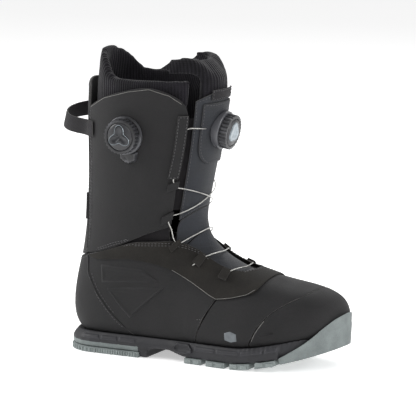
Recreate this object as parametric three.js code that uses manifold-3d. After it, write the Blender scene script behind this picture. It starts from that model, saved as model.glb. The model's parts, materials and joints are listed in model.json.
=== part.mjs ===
// A snowboard boot for the right foot, in millimetres: toe towards +X, outer side towards -Y, sole down.
// A soft shell on a rubber cup sole, with a removable foam liner and two dials that wind steel laces.
// The shell splits in a V at the ankle: all above it turns about the ankle axis as the rider leans forward.
import * as THREE from "three";
import { mergeVertices } from "three/addons/utils/BufferGeometryUtils.js";
import Module from "manifold-3d";

const wasm = await Module();
wasm.setup();

// ---- driving dimensions ----
const soleLength = 300; // heel to toe, outside
const ballWidth = 110; // across the sole at the ball of the foot
const shaftHeight = 278; // ground to the highest point of the shell's side
const shellThickness = 2.5;
const saddleRise = 1; // how thick the saddle is
const facingHeight = 2.6; // how thick the cuff's padded front edges are
const facingWidth = 9;
const padThickness = 1.5; // the pad on the tongue
const tabThickness = 1.2; // the tab above the pad
const guideRoof = 0.7; // webbing over the cable's passage in a guide
const tongueThickness = 2.2;
const tongueGap = 0.8; // under the shell's panels, to the tongue's face
const linerThickness = 8;
const gussetGap = 1.2; // under the shell's panels, to the gussets
const gussetThickness = 0.8;
const laceRoom = 1.5; // spare depth for the cable between a gusset and the liner
const fitGap = 0.4; // between pieces that touch
const randGap = 0.9; // between the shell and the cup sole, filled with cement
const overlayGap = 0.7; // under a piece sewn on top of another
const seamGap = 0.9; // between shell panels sewn edge to edge
const treadThickness = 6;
const toeSpring = 22; // how far the toe's tip rises
const archRise = 5;
const boardThickness = 2;
const cushionThickness = 2.8;
const footbedThickness = 3;
const footbedGap = 0.9; // over the liner's floor
const laceRadius = 0.6;
const loopWidth = 16; // webbing of the pull loop
const loopThickness = 1.6;
const dialRadius = 17.8; // the knob's grip
const dialBaseRadius = 19.5;
const dialBaseHeight = 4;
const gripTeeth = 28;
const gripDepth = 1.1;
const spoolRadius = 8.5;
const axleRadius = 2;
const dialRunningGap = 0.4;

const tongueDepth = shellThickness + tongueGap; // the tongue's face below the shell's face
const gussetFace = -shellThickness - gussetGap;
const linerDepth = gussetThickness - gussetFace + 2 * laceRadius + laceRoom; // the liner's face below it

// ---- grading: the pattern below is drawn for the sample size and scaled to the sizes above ----
const sampleLength = 300;
const sampleWidth = 110;
const sampleHeight = 278;
const gradeX = soleLength / sampleLength;
const gradeY = ballWidth / sampleWidth;
const gradeZ = shaftHeight / sampleHeight;

// ---- the last: sections from the toe's tip to the top of the shaft ----
// Each section lies in a plane through its front point and its rear point, across the boot.
// Front x, front z, rear x, rear z, outer half width, inner half width, centre y,
// widest at (share from the front), front roundness, rear roundness.
const sections = [
  [147, 52, 147, 42, 7, 7, 7, 0.5, 2, 2],
  [143.5, 62, 143.5, 35, 23, 23, 7, 0.55, 2.2, 2.4],
  [137, 70.5, 137, 31.5, 34, 34, 6.5, 0.58, 2.2, 2.8],
  [126, 77, 126, 27.5, 43, 43, 5.5, 0.6, 2.2, 3],
  [109, 82, 109, 22.5, 49, 48, 4, 0.62, 2.2, 3.2],
  [90, 86, 90, 18.5, 51.5, 50, 2.5, 0.64, 2.1, 3.3],
  [70, 90.5, 70, 15.5, 52.5, 50, 1, 0.66, 2.05, 3.4],
  [51, 95.5, 48, 14, 51.5, 48.5, 0, 0.66, 2, 3.5],
  [35, 101.5, 22, 14, 49, 46, 0, 0.64, 2, 3.6],
  [21, 109, -8, 14, 46, 44, 0, 0.62, 2, 3.8],
  [10, 118, -46, 14, 43, 42, 0, 0.58, 2.05, 4],
  [3, 127, -90, 14, 42, 41, 0, 0.55, 2.1, 3.6],
  [0, 136, -128, 16, 42, 41, 0, 0.52, 2.2, 3],
  [-1, 144, -145, 27, 43, 42, 0, 0.5, 2.2, 2.5],
  [0, 152, -148, 47, 44.5, 43, 0, 0.5, 2.2, 2.3],
  [1.5, 161, -145, 70, 45.5, 44, 0, 0.5, 2.2, 2.2],
  [4, 173, -138, 98, 46, 45, 0, 0.5, 2.2, 2.2],
  [7, 188, -133, 128, 47, 46, 0, 0.5, 2.2, 2.2],
  [11, 206, -131, 160, 48, 47, 0, 0.5, 2.2, 2.2],
  [15, 227, -130, 195, 49, 48, 0, 0.5, 2.2, 2.2],
  [19, 250, -131, 232, 50, 49, 0, 0.5, 2.2, 2.2],
  [22, 272, -130, 266, 50.5, 49.5, 0, 0.5, 2.2, 2.2],
  [22, 292, -128, 290, 50.5, 49.5, 0, 0.5, 2.2, 2.2],
  [20, 314, -125, 314, 50, 49, 0, 0.5, 2.2, 2.2],
];
const topSection = sections.length - 1;

// A value of the section table between two rows, on a Catmull-Rom curve.
function sectionValue(u, column) {
  const i = Math.min(Math.max(Math.floor(u), 0), topSection - 1);
  const t = u - i;
  const row = (k) => sections[Math.min(Math.max(k, 0), topSection)][column];
  const [a, b, c, d] = [row(i - 1), row(i), row(i + 1), row(i + 2)];
  return b + 0.5 * t * (c - a + t * (2 * a - 5 * b + 4 * c - d + t * (3 * (b - c) + d - a)));
}

// The shell's outer face. u runs over the sections; v is 0 at the front and 1 or -1 at the rear, and is
// negative on the outer side.
function face(u, v) {
  const turn = v - 2 * Math.round(v / 2);
  const angle = Math.abs(turn) * Math.PI;
  const row = sections[0].map((_, k) => sectionValue(u, k));
  const [fx, fz, rx, rz, outer, inner, centre, widest, roundFront, roundRear] = row;
  const halfWidth = turn < 0 ? -outer : inner;
  const front = angle < Math.PI / 2;
  const power = 2 / (front ? roundFront : roundRear);
  const reach = Math.abs(Math.cos(angle)) ** power;
  const along = front ? widest * (1 - reach) : widest + (1 - widest) * reach;
  const across = Math.max(Math.sin(angle), 0) ** power;
  return new THREE.Vector3(
    (fx + (rx - fx) * along) * gradeX,
    (centre + halfWidth * across) * gradeY,
    (fz + (rz - fz) * along) * gradeZ,
  );
}

// A point at a height above (or, if negative, below) the shell's outer face.
function onFace(u, v, height = 0) {
  const du = 0.02;
  const dv = 0.004;
  const low = Math.max(u - du, 0);
  const high = Math.min(u + du, topSection);
  const alongU = face(high, v).sub(face(low, v));
  const alongV = face(u, v + dv).sub(face(u, v - dv));
  return face(u, v).addScaledVector(alongV.cross(alongU).normalize(), height);
}

// The place on the outer side, as [u, v] with v from 0 to 1, that the side view shows at x, z.
function seen(x, z) {
  const [gx, gz] = [x * gradeX, z * gradeZ];
  const miss = (u, v) => {
    const p = face(u, -v);
    return [p.x - gx, p.z - gz];
  };
  let best = [Infinity, 0, 0];
  for (let u = 0.2; u <= topSection; u += 0.4)
    for (let v = 0.03; v < 1; v += 0.04) {
      const far = Math.hypot(...miss(u, v));
      if (far < best[0]) best = [far, u, v];
    }
  let [, u, v] = best;
  for (let k = 0; k < 30; k++) {
    const step = 1e-4;
    const [mx, mz] = miss(u, v);
    const [ux, uz] = miss(u + step, v).map((m, i) => (m - [mx, mz][i]) / step);
    const [vx, vz] = miss(u, v + step).map((m, i) => (m - [mx, mz][i]) / step);
    const det = ux * vz - uz * vx;
    if (Math.abs(det) < 1e-9) break;
    u = Math.min(Math.max(u - 0.7 * ((mx * vz - mz * vx) / det), 0), topSection);
    v = Math.min(Math.max(v - 0.7 * ((mz * ux - mx * uz) / det), 0.005), 0.995);
  }
  return [u, v];
}

// ---- panels ----
// An edge through places on the face, each either [u, v] or a side view point from seen().
function edge(...places) {
  const curve = new THREE.SplineCurve(places.map(([u, v]) => new THREE.Vector2(u, v)));
  return (t) => curve.getPoint(t).toArray();
}

// The last number between low and high for which test still holds.
function lastWhere(test, low, high) {
  for (let k = 0; k < 30; k++) {
    const middle = (low + high) / 2;
    if (test(middle)) low = middle;
    else high = middle;
  }
  return low;
}
// The second value of an edge where its first one reaches x.
const valueAt = (line, x) => line(lastWhere((t) => line(t)[0] < x, 0, 1))[1];

// The place at s, t between four edges: bottom and top run with s, left and right run with t.
function between(bottom, top, left, right) {
  const corner = (e, f, k) => (e[k] + f[k]) / 2;
  return (s, t) =>
    [0, 1].map((k) => {
      const sides = (1 - t) * bottom(s)[k] + t * top(s)[k] + (1 - s) * left(t)[k] + s * right(t)[k];
      const c00 = corner(bottom(0), left(0), k);
      const c10 = corner(bottom(1), right(0), k);
      const c01 = corner(top(0), left(1), k);
      const c11 = corner(top(1), right(1), k);
      return sides - (1 - s) * (1 - t) * c00 - s * (1 - t) * c10 - (1 - s) * t * c01 - s * t * c11;
    });
}

// A closed sheet whose place(s, t) is a [u, v] on the face, from one height to another over it.
function sheet(place, upper, lower, steps, rows, side = 1) {
  const height = (value, s, t) => (typeof value === "function" ? value(s, t) : value);
  const points = [];
  for (const value of [lower, upper])
    for (let i = 0; i <= steps; i++)
      for (let j = 0; j <= rows; j++) {
        const [u, v] = place(i / steps, j / rows);
        points.push(onFace(u, v * side, height(value, i / steps, j / rows)));
      }
  const at = (layer, i, j) => (layer * (steps + 1) + i) * (rows + 1) + j;
  const index = [];
  const quad = (a, b, c, d) => index.push(a, b, c, a, c, d);
  for (let i = 0; i < steps; i++)
    for (let j = 0; j < rows; j++) {
      quad(at(1, i, j), at(1, i + 1, j), at(1, i + 1, j + 1), at(1, i, j + 1));
      quad(at(0, i, j), at(0, i, j + 1), at(0, i + 1, j + 1), at(0, i + 1, j));
    }
  for (let i = 0; i < steps; i++) {
    quad(at(0, i, 0), at(0, i + 1, 0), at(1, i + 1, 0), at(1, i, 0));
    quad(at(0, i + 1, rows), at(0, i, rows), at(1, i, rows), at(1, i + 1, rows));
  }
  for (let j = 0; j < rows; j++) {
    quad(at(0, 0, j + 1), at(0, 0, j), at(1, 0, j), at(1, 0, j + 1));
    quad(at(0, steps, j), at(0, steps, j + 1), at(1, steps, j + 1), at(1, steps, j));
  }
  return facingOut(points, index);
}

// A closed geometry from points and triangles, turned so that its faces point out.
function facingOut(points, index) {
  let volume = 0;
  for (let k = 0; k < index.length; k += 3) {
    const [a, b, c] = [points[index[k]], points[index[k + 1]], points[index[k + 2]]];
    volume += a.dot(b.clone().cross(c));
  }
  if (volume < 0)
    for (let k = 0; k < index.length; k += 3) [index[k], index[k + 1]] = [index[k + 1], index[k]];
  const geometry = new THREE.BufferGeometry().setFromPoints(points);
  geometry.setIndex(index);
  return geometry;
}

// ---- joins and cuts ----
function solid(geometry) {
  const bare = geometry.clone();
  for (const name of ["normal", "uv"]) bare.deleteAttribute(name);
  const merged = mergeVertices(bare, 1e-4);
  return new wasm.Manifold(
    new wasm.Mesh({
      numProp: 3,
      vertProperties: new Float32Array(merged.attributes.position.array),
      triVerts: new Uint32Array(merged.index.array),
    }),
  );
}

function geometryOf(body) {
  const mesh = body.getMesh();
  const positions = new Float32Array(mesh.numVert * 3);
  for (let i = 0; i < mesh.numVert; i++)
    positions.set(mesh.vertProperties.subarray(i * mesh.numProp, i * mesh.numProp + 3), i * 3);
  const geometry = new THREE.BufferGeometry();
  geometry.setAttribute("position", new THREE.BufferAttribute(positions, 3));
  geometry.setIndex(new THREE.BufferAttribute(new Uint32Array(mesh.triVerts), 1));
  return geometry;
}

// The largest body of a cut, without the crumbs that a cut can leave.
function largest(body) {
  return body.decompose().reduce((a, b) => (b.volume() > a.volume() ? b : a));
}

const without = (geometry, room) => geometryOf(largest(solid(geometry).subtract(room)));

// Triangles between each ring of points and the next.
function bands(ring, count, turns) {
  const index = [];
  for (let i = 0; i < count - 1; i++)
    for (let k = 0; k < turns; k++) {
      const [a, b, c, d] = [ring(i, k), ring(i + 1, k), ring(i + 1, k + 1), ring(i, k + 1)];
      index.push(a, b, c, a, c, d);
    }
  return index;
}

// The last as one solid, its face moved out by a height.
function lastSolid(height, firstU, turns, stride = 0.5) {
  const points = [];
  const index = [];
  const stops = [];
  for (let u = firstU; u <= topSection; u += u < 5 || (u >= 10 && u < 15) ? stride : 1) stops.push(u);
  if (stops.at(-1) < topSection) stops.push(topSection);
  for (const u of stops)
    for (let k = 0; k < turns; k++) points.push(onFace(u, (2 * k) / turns - 1, height));
  const ring = (i, k) => i * turns + (k % turns);
  index.push(...bands(ring, stops.length, turns));
  const cap = (i, flip) => {
    const middle = points.length;
    const centre = new THREE.Vector3();
    for (let k = 0; k < turns; k++) centre.addScaledVector(points[ring(i, k)], 1 / turns);
    points.push(centre);
    for (let k = 0; k < turns; k++) {
      const [a, b] = flip ? [ring(i, k + 1), ring(i, k)] : [ring(i, k), ring(i, k + 1)];
      index.push(a, b, middle);
    }
  };
  cap(0, false);
  cap(stops.length - 1, true);
  return solid(facingOut(points, index));
}

// ---- materials ----
const leather = new THREE.MeshStandardMaterial({ color: 0x2e2d2e, roughness: 0.75, metalness: 0 });
const saddleLeather = new THREE.MeshStandardMaterial({ color: 0x35332f, roughness: 0.8, metalness: 0 });
const tongueFabric = new THREE.MeshStandardMaterial({ color: 0x35363a, roughness: 0.85, metalness: 0 });
const linerFoam = new THREE.MeshStandardMaterial({ color: 0x1c1b1d, roughness: 0.95, metalness: 0 });
const blackRubber = new THREE.MeshStandardMaterial({ color: 0x2a2a2c, roughness: 0.6, metalness: 0 });
const greyRubber = new THREE.MeshStandardMaterial({ color: 0x7e8584, roughness: 0.65, metalness: 0 });
const webbing = new THREE.MeshStandardMaterial({ color: 0x2c2b2d, roughness: 0.9, metalness: 0 });
const hardPlastic = new THREE.MeshStandardMaterial({ color: 0x232325, roughness: 0.35, metalness: 0 });
const capPlastic = new THREE.MeshStandardMaterial({ color: 0x4a4c50, roughness: 0.3, metalness: 0.2 });
const boardFibre = new THREE.MeshStandardMaterial({ color: 0x8a7a5c, roughness: 0.9, metalness: 0 });
const steel = new THREE.MeshStandardMaterial({ color: 0xb9bab8, roughness: 0.35, metalness: 0.9 });

const boot = new THREE.Group();
function place(name, geometry, material) {
  const mesh = new THREE.Mesh(geometry, material);
  mesh.name = name;
  boot.add(mesh);
  return mesh;
}

// ---- pattern lines, in the side view of the sample size: x, z ----
const ankle = { x: -68, z: 118 }; // the axis that the cuff turns about
const toeSeam = [[119, 76.5], [108, 71], [95, 63], [83, 51], [74, 38], [69, 28], [66, 21]];
const quarterSeam = [[47, 86], [38, 77], [30, 67.6], [22, 55], [10, 35], [5, 20]];
const heelSeam = [[-61, 16], [-76, 29], [-93, 45], [-106, 62], [-117, 82], [-118, 101]];
const saddleLower = [
  [70, 78.5], [62, 74], [46, 70], [30, 67.6], [21, 71], [-1, 82], [-23, 92], [-44, 98], [-75, 101], [-108, 98],
];
const openingEdge = [[52, 93.2], [40, 93.6], [25, 98], [10, 106], [-3, 114], [-22, 121]];
const lowerSplit = [[-22, 121], [-45, 120], [ankle.x, ankle.z - 0.6], [-118, 101]];
const cuffSplit = [[-25, 136], [-45, 129], [ankle.x, ankle.z + 0.8], [-120, 102.5]];
const cuffFront = [[-25, 136], [-22, 154], [-16, 186], [-10, 212], [-6, 236], [-4, 250]];
const cuffTop = [[-4, 250], [-7, 262], [-20, 271], [-42, 277], [-66, 273], [-96, 264], [-120, 250]];
const backSeam = [[-120, 102.5], [-122, 140], [-121, 185], [-120, 220], [-120, 250]];

// [u, v] of a pattern line, all on the side that seen() looks at.
const onPattern = (line) => line.map(([x, z]) => seen(x, z));
// The same line carried across the front, from the outer side over v = 0 to the inner side.
function acrossFront(middle, places) {
  const outer = places.map(([u, v]) => [u, -v]).reverse();
  return edge(...outer, [middle, 0], ...places);
}
// The same line carried round the back, over v = 1.
function aroundBack(middle, places) {
  return edge(...places, [middle, 1], ...places.map(([u, v]) => [u, 2 - v]).reverse());
}
// A line moved sideways in the pattern, so that the panel behind it leaves a seam.
const shifted = (line, dx, dz = 0) => line.map(([x, z]) => [x + dx, z + dz]);
const mirrorFront = (e) => (t) => [e(t)[0], -e(t)[1]];
const mirrorBack = (e) => (t) => [e(t)[0], 2 - e(t)[1]];

// Where the shell's lower margin lies inside the cup sole, from the toe to the heel.
const marginShare = 0.87;
const closingU = 10.5; // from here the margin closes in under the heel
const heelMiddle = 12.2; // and here it passes under the middle of the heel
const closed = (u) => Math.max(0, (u - closingU) / (heelMiddle - closingU)) ** 2;
const margin = (u) => [u, marginShare + (1 - marginShare) * closed(u)];
const marginLine = (from, to) => edge(...[0, 0.25, 0.5, 0.75, 1].map((t) => margin(from + (to - from) * t)));

// ---- shell panels ----
const toeEnd = 0.2;
const toeSeamPlaces = onPattern(toeSeam);
const quarterSeamPlaces = onPattern(quarterSeam);
const openingPlaces = onPattern(openingEdge);
const toeSeamMiddle = 3.35;
const throatMiddle = 6.75;

function toeCap() {
  const end = margin(toeSeamPlaces.at(-1)[0]);
  const tip = edge([toeEnd, -marginShare], [toeEnd, 0], [toeEnd, marginShare]);
  const seam = acrossFront(toeSeamMiddle, [...toeSeamPlaces, end]);
  const side = marginLine(toeEnd, end[0]);
  return sheet(between(tip, seam, mirrorFront(side), side), 0, -shellThickness, 24, 7);
}

function vamp() {
  const front = shifted(toeSeam, -seamGap);
  const places = onPattern(front);
  const start = margin(places.at(-1)[0]);
  const end = margin(quarterSeamPlaces.at(-1)[0]);
  const seam = acrossFront(toeSeamMiddle + 0.05, [...places, start]);
  const rear = acrossFront(throatMiddle, [...quarterSeamPlaces, end]);
  const side = marginLine(start[0], end[0]);
  return sheet(between(seam, rear, mirrorFront(side), side), 0, -shellThickness, 24, 7);
}

function quarter(side) {
  const front = onPattern(shifted(quarterSeam, -2 * seamGap)).reverse();
  const rear = onPattern(shifted(heelSeam, seamGap));
  const start = margin(front[0][0]);
  const end = margin(rear[0][0]);
  const top = edge(...openingPlaces, ...onPattern(lowerSplit.slice(1)));
  const place = between(marginLine(start[0], end[0]), top, edge(start, ...front), edge(end, ...rear));
  return sheet(place, 0, -shellThickness, 16, 8, side);
}

function heelCounter() {
  const seam = onPattern(heelSeam);
  const start = margin(seam[0][0]);
  const bottom = aroundBack(heelMiddle, [start, margin((start[0] + heelMiddle) / 2)]);
  const [topU] = seen(-137, 95.5);
  const top = aroundBack(topU, [seam.at(-1)]);
  const side = edge(start, ...seam);
  return sheet(between(bottom, top, side, mirrorBack(side)), 0, -shellThickness, 16, 8);
}

function saddle() {
  const low = onPattern(saddleLower);
  const high = onPattern([...openingEdge.slice(0, -1), ...lowerSplit]);
  const lower = acrossFront(5.75, low);
  const upper = acrossFront(throatMiddle, high);
  const end = edge(low.at(-1), high.at(-1));
  const place = between(lower, upper, mirrorFront(end), end);
  return sheet(place, overlayGap + saddleRise, overlayGap, 38, 4);
}

// ---- cuff ----
function cuffPanel(side) {
  const bottom = edge(...onPattern(cuffSplit));
  const top = edge(...onPattern(cuffTop));
  const place = between(bottom, top, edge(...onPattern(cuffFront)), edge(...onPattern(backSeam)));
  return sheet(place, 0, -shellThickness, 11, 12, side);
}

function backstay() {
  const seam = onPattern(shifted(backSeam, -seamGap));
  const [lowU] = seen(-137, 97);
  const [highU] = seen(-129, 278);
  const corner = seen(-120, 271);
  const side = edge(...seam, corner);
  const bottom = aroundBack(lowU, [seam[0]]);
  const top = aroundBack(highU, [corner]);
  return sheet(between(bottom, top, side, mirrorBack(side)), 0, -shellThickness, 8, 12);
}

// ---- facings: the padded strips along the cuff's front edges, with a tunnel for the lace ----
function facing(side) {
  const front = onPattern(shifted(cuffFront.slice(2), 0.4));
  const back = onPattern(shifted(cuffFront.slice(2), -facingWidth));
  const [foot, top] = [edge(front[0], back[0]), edge(front.at(-1), back.at(-1))];
  const place = between(foot, top, edge(...front), edge(...back));
  return sheet(place, overlayGap + facingHeight, overlayGap, 3, 12, side);
}

// ---- tongue ----
const tongueShare = 0.232; // half the tongue's width, as a share of half the shaft's girth
const tongueTopU = 21;
const tongueStartU = 6.4; // under the vamp
const shellTongueFoot = 14.1;
const tongueBottomU = 11.4;
const throatDrop = 1.3; // how much deeper the tongue starts under the vamp

// A strip up the front, its half width a share of half the girth at each height.
function frontStrip(share, fromU, toU, crown = () => 0) {
  return (s, t) => {
    const across = 2 * s - 1;
    return [fromU + (toU - fromU) * t + crown(t) * (1 - across * across), share(t) * across];
  };
}

function tongueUpper() {
  const crown = (t) => 0.4 * Math.max(0, 5 * t - 4);
  const strip = frontStrip(() => tongueShare, shellTongueFoot, tongueTopU - 0.35, crown);
  return sheet(strip, -tongueDepth, -tongueDepth - tongueThickness, 10, 12);
}

function tongueBase() {
  const shares = (t) => 0.16 + 0.12 * Math.sin((Math.PI / 2) * Math.min(1, 1.6 * t));
  const strip = frontStrip(shares, tongueStartU, tongueBottomU);
  const top = (s, t) => -tongueDepth - throatDrop * Math.max(0, 1 - 3 * t);
  return sheet(strip, top, (s, t) => top(s, t) - tongueThickness, 10, 8);
}

const padFootU = 17.6;
const padTopU = 20.5;
const padFace = padThickness + fitGap - tongueDepth;
function tonguePad() {
  const share = 0.185;
  const roundEnd = 0.42; // the share of its length that is rounded off
  const rounded = (t) => Math.sin(Math.acos(Math.max(0, 1 - (t + 0.04) / (roundEnd + 0.035)))) ** 0.8;
  const strip = frontStrip((t) => share * (t < roundEnd ? rounded(t) : 1), padFootU, padTopU);
  return sheet(strip, padFace, fitGap - tongueDepth, 8, 9);
}

function labelTab() {
  const strip = frontStrip(() => 0.13, padTopU + 0.12, padTopU + 0.62);
  return sheet(strip, tabThickness + fitGap - tongueDepth, fitGap - tongueDepth, 6, 4);
}

// ---- liner ----
const linerFace = -linerDepth;
const linerInside = -linerDepth - linerThickness;
const linerFront = 0.262; // where the liner's cuff ends, as a share of half the girth
const linerTongueShare = 0.2;
const linerTongueStem = 2 / 3; // the share of its rows that lie below the dome
const domeShare = 0.47;
const domeFootU = 21.8; // just above the liner cuff's front corners
const domeSideU = 22;
const domeTopU = 22.62;
const domeLean = 12; // how far the dome leans in over the leg

// The liner's tongue: narrow behind the shell's tongue, and above it a wide dome over the liner cuff's front edge.
function linerTongue() {
  const flare = (t) => Math.max(0, (t - linerTongueStem) / (1 - linerTongueStem));
  const opened = (t) => Math.sin((Math.PI / 2) * Math.min(1, 2.2 * flare(t)));
  const share = (t) => linerTongueShare + (domeShare - linerTongueShare) * opened(t);
  const place = (s, t) => {
    const across = 2 * s - 1;
    const top = domeSideU + (domeTopU - domeSideU) * (1 - across * across);
    const stem = shellTongueFoot + (domeFootU - shellTongueFoot) * Math.min(1, t / linerTongueStem);
    return [stem + (top - domeFootU) * flare(t), share(t) * across];
  };
  const under = -tongueDepth - tongueThickness - overlayGap;
  const upperFace = (s, t) => under - domeLean * flare(t) ** 2;
  return sheet(place, upperFace, (s, t) => upperFace(s, t) - linerThickness + 3 * flare(t), 20, 12);
}

function linerCuff() {
  const bottom = [[-22, 138], [-45, 130.5], [ankle.x, ankle.z + 2.5], [-118, 105]];
  const low = onPattern(bottom);
  const [footU, topU] = [13.5, 21.67];
  const side = edge(...[0, 0.25, 0.5, 0.75, 1].map((t) => [footU + (topU - footU) * t, linerFront]));
  const [backU] = seen(-133, 99);
  const lower = aroundBack(backU, [[footU, linerFront], ...low]);
  const lobe = [[21.71, 0.42], [21.73, 0.58], [21.95, 0.68], [22.45, 0.78], [22.74, 0.89]];
  const upper = aroundBack(22.84, [[topU, linerFront], ...lobe]);
  return sheet(between(lower, upper, side, mirrorBack(side)), linerFace, linerInside, 22, 9);
}

function linerBootie() {
  const outline = new THREE.Shape();
  const split = [[3, 130], [-25, 124], [-50, 118], [ankle.x, ankle.z - 2], [-170, 70]];
  const line = [[60, 400], [60, 200], ...split, [-170, 400]].map(([x, z]) => [x * gradeX, z * gradeZ]);
  line.forEach(([x, z], i) => (i ? outline.lineTo(x, z) : outline.moveTo(x, z)));
  const wide = ballWidth * 2;
  const cutter = new THREE.ExtrudeGeometry(outline, { depth: wide, bevelEnabled: false });
  cutter.rotateX(Math.PI / 2);
  cutter.translate(0, ballWidth, 0);
  const shell = lastSolid(linerFace, 0.5, 24, 1).subtract(lastSolid(linerInside, 2, 24, 1));
  return geometryOf(largest(shell.subtract(solid(cutter))));
}

// ---- lofts for the sole and what lies on it ----
// A closed body through rings of points, capped at both ends.
function loft(rings) {
  const turns = rings[0].length;
  const points = rings.flat();
  const ring = (i, k) => i * turns + (k % turns);
  const index = bands(ring, rings.length, turns);
  for (let k = 1; k < turns - 1; k++) {
    index.push(ring(0, 0), ring(0, k), ring(0, k + 1));
    index.push(ring(rings.length - 1, 0), ring(rings.length - 1, k + 1), ring(rings.length - 1, k));
  }
  return facingOut(points, index);
}

// Half the sole's width on each side at x, from the heel's round to the toe's.
const heelRadius = 38.5;
const heelCentre = -111.5;
const toeStart = 66;
const toeEndX = 150.5;
const outerSide = edge([heelCentre, heelRadius], [-72, 41], [-32, 43.5], [2, 47], [34, 52.5], [toeStart, 55]);
const innerSide = edge([heelCentre, heelRadius], [-72, 40], [-32, 40], [2, 42], [34, 47.5], [toeStart, 50.5]);
function soleSides(x, inset = 0) {
  const centre = x > toeStart ? 7 * ((x - toeStart) / (toeEndX - toeStart)) ** 1.5 : 0;
  let widths;
  if (x < heelCentre) {
    const half = Math.sqrt(Math.max(0, (heelRadius - inset) ** 2 - (heelCentre - x) ** 2)) + inset;
    widths = [half, half];
  } else if (x > toeStart) {
    const share = (x - toeStart) / (toeEndX - inset - toeStart);
    const width = Math.max(0, 1 - Math.min(1, share) ** 2.5) ** (1 / 2.3);
    widths = [outerSide(1)[1], innerSide(1)[1]].map((half) => (half - inset) * width + inset);
  } else {
    widths = [valueAt(outerSide, x), valueAt(innerSide, x)];
  }
  return [(centre - widths[0] + inset) * gradeY, (centre + widths[1] - inset) * gradeY];
}

// A body between two heights, z = low(x) and high(x), inside the sole's outline from one x to another.
function slab(from, to, low, high, inset = 0, steps = 24, tuck = 0) {
  const start = Math.max(from, heelCentre - heelRadius + inset + 0.02);
  const end = Math.min(to, toeEndX - inset - 0.02);
  const rings = [];
  for (let i = 0; i <= steps; i++) {
    const eased = (1 - Math.cos((Math.PI * i) / steps)) / 2;
    const x = start + (end - start) * (0.35 * (i / steps) + 0.65 * eased);
    const [outer, inner] = soleSides(x, inset);
    const [bottom, top] = [low(x) * gradeZ, high(x) * gradeZ];
    const slope = Math.min(tuck, (inner - outer) / 3);
    rings.push([
      new THREE.Vector3(x * gradeX, outer + slope, bottom),
      new THREE.Vector3(x * gradeX, inner - slope, bottom),
      new THREE.Vector3(x * gradeX, inner, top),
      new THREE.Vector3(x * gradeX, outer, top),
    ]);
  }
  return loft(rings);
}

// ---- sole ----
const springStart = 50; // where the toe begins to rise
const tipX = 147;
const lastFloor = 14;
const rise = (x) => toeSpring * Math.max(0, (x - springStart) / (tipX - springStart)) ** 1.5;
const heelTread = { from: -150.5, to: -59 };
const lugs = [[-6, 14], [20, 42], [48, 70], [76, 97]];
const randHeight = 21; // ground to the cup sole's lip
const arch = (x) => archRise * Math.min(1, Math.max(0, Math.min((x + 52) / 6, (-12 - x) / 6)));
const cupFloor = (x) => treadThickness + rise(x) + arch(x);
const toeGuard = { from: 100, thickness: 3, gap: 0.5 };
const guardTop = edge([100, 15], [119, 27], [132, 38], [140, 47], [151, 57]);
const shank = { from: -104, to: 8, width: 16, thickness: 1.2 };
const shankUnder = lastFloor - fitGap - 0.3 - shank.thickness;

const guardHeight = (x) => valueAt(guardTop, x);

// A box between two places of the sample size.
function box(x0, x1, y0, y1, z0, z1) {
  const geometry = new THREE.BoxGeometry(x1 - x0, y1 - y0, z1 - z0);
  geometry.translate((x0 + x1) / 2, (y0 + y1) / 2, (z0 + z1) / 2);
  return geometry.scale(gradeX, gradeY, gradeZ);
}

const cupCavity = lastSolid(randGap, 0, 40);
function cupBody(spare) {
  const lip = (x) => randHeight + rise(x) + spare;
  const floor = (x) => cupFloor(x) - spare;
  const rear = slab(heelCentre - heelRadius, toeGuard.from, floor, lip, 0, 20, 2);
  const front = slab(toeGuard.from - 0.01, toeEndX, floor, lip, toeGuard.thickness - spare, 16, 2);
  const step = heelTread.to + fitGap; // the heel's front face, behind the arch
  const heelBlock = slab(step, step + 8.6, () => 0.3, () => treadThickness + 2, 1, 2, 2);
  return solid(rear).add(solid(front)).add(solid(heelBlock));
}

function midsoleRand() {
  const half = shank.width / 2 + fitGap;
  const slot = box(shank.from - 1, shank.to + 1, -half, half, shankUnder - fitGap, lastFloor + 4);
  return geometryOf(largest(cupBody(0).subtract(cupCavity).subtract(solid(slot))));
}

function toeRubber() {
  const from = toeGuard.from + toeGuard.gap;
  const under = (x) => rise(x) + 0.2;
  const wall = slab(from, toeEndX, under, (x) => Math.min(guardHeight(x), randHeight + rise(x)), 0, 12, 3);
  const wrap = solid(slab(from, toeEndX, under, guardHeight, 0, 12, 3)).intersect(lastSolid(4.2, 0, 40));
  return geometryOf(largest(solid(wall).add(wrap).subtract(cupBody(toeGuard.gap)).subtract(cupCavity)));
}

function heelTreadBody() {
  const top = () => treadThickness - 0.3;
  const body = solid(slab(heelTread.from, heelTread.to, () => 0, top, 0.5, 16, -0.4));
  const grooves = [-128, -108, -88, -72].map((x) => solid(box(x - 1.5, x + 1.5, -60, 60, -1, 2.5)));
  return geometryOf(largest(grooves.reduce((a, b) => a.subtract(b), body)));
}

function forefootLug([from, to]) {
  const low = (x) => rise(x);
  return slab(from, to, low, (x) => low(x) + treadThickness - 0.3, 1, 4, -0.4);
}

// A plate on the last's floor, between two sections, from one height over the shell's face to another.
function floorPlate(fromU, toU, share, steps, upper, lower) {
  const place = (s, t) => {
    const u = fromU + (toU - fromU) * s;
    const half = Math.min(share, 1 - margin(u)[1] - 0.012);
    return [u, 1 - half + 2 * half * t];
  };
  return sheet(place, upper, lower, steps, 4);
}
const boardShare = 0.112;
const boardUnder = -fitGap - boardThickness;
const insoleBoard = () => floorPlate(2.2, 12, boardShare, 14, -fitGap, boardUnder);
function insoleCushion() {
  const top = boardUnder - fitGap;
  return floorPlate(2.5, 12, boardShare, 14, top, top - cushionThickness);
}
function footbed() {
  const under = linerInside - footbedGap;
  return sheet((s, t) => [3 + 9 * s, 1 + (t - 0.5) / 3], under, under - footbedThickness, 9, 4);
}

function shankStrip() {
  const half = shank.width / 2;
  return box(shank.from, shank.to, -half, half, shankUnder, shankUnder + shank.thickness);
}

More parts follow.
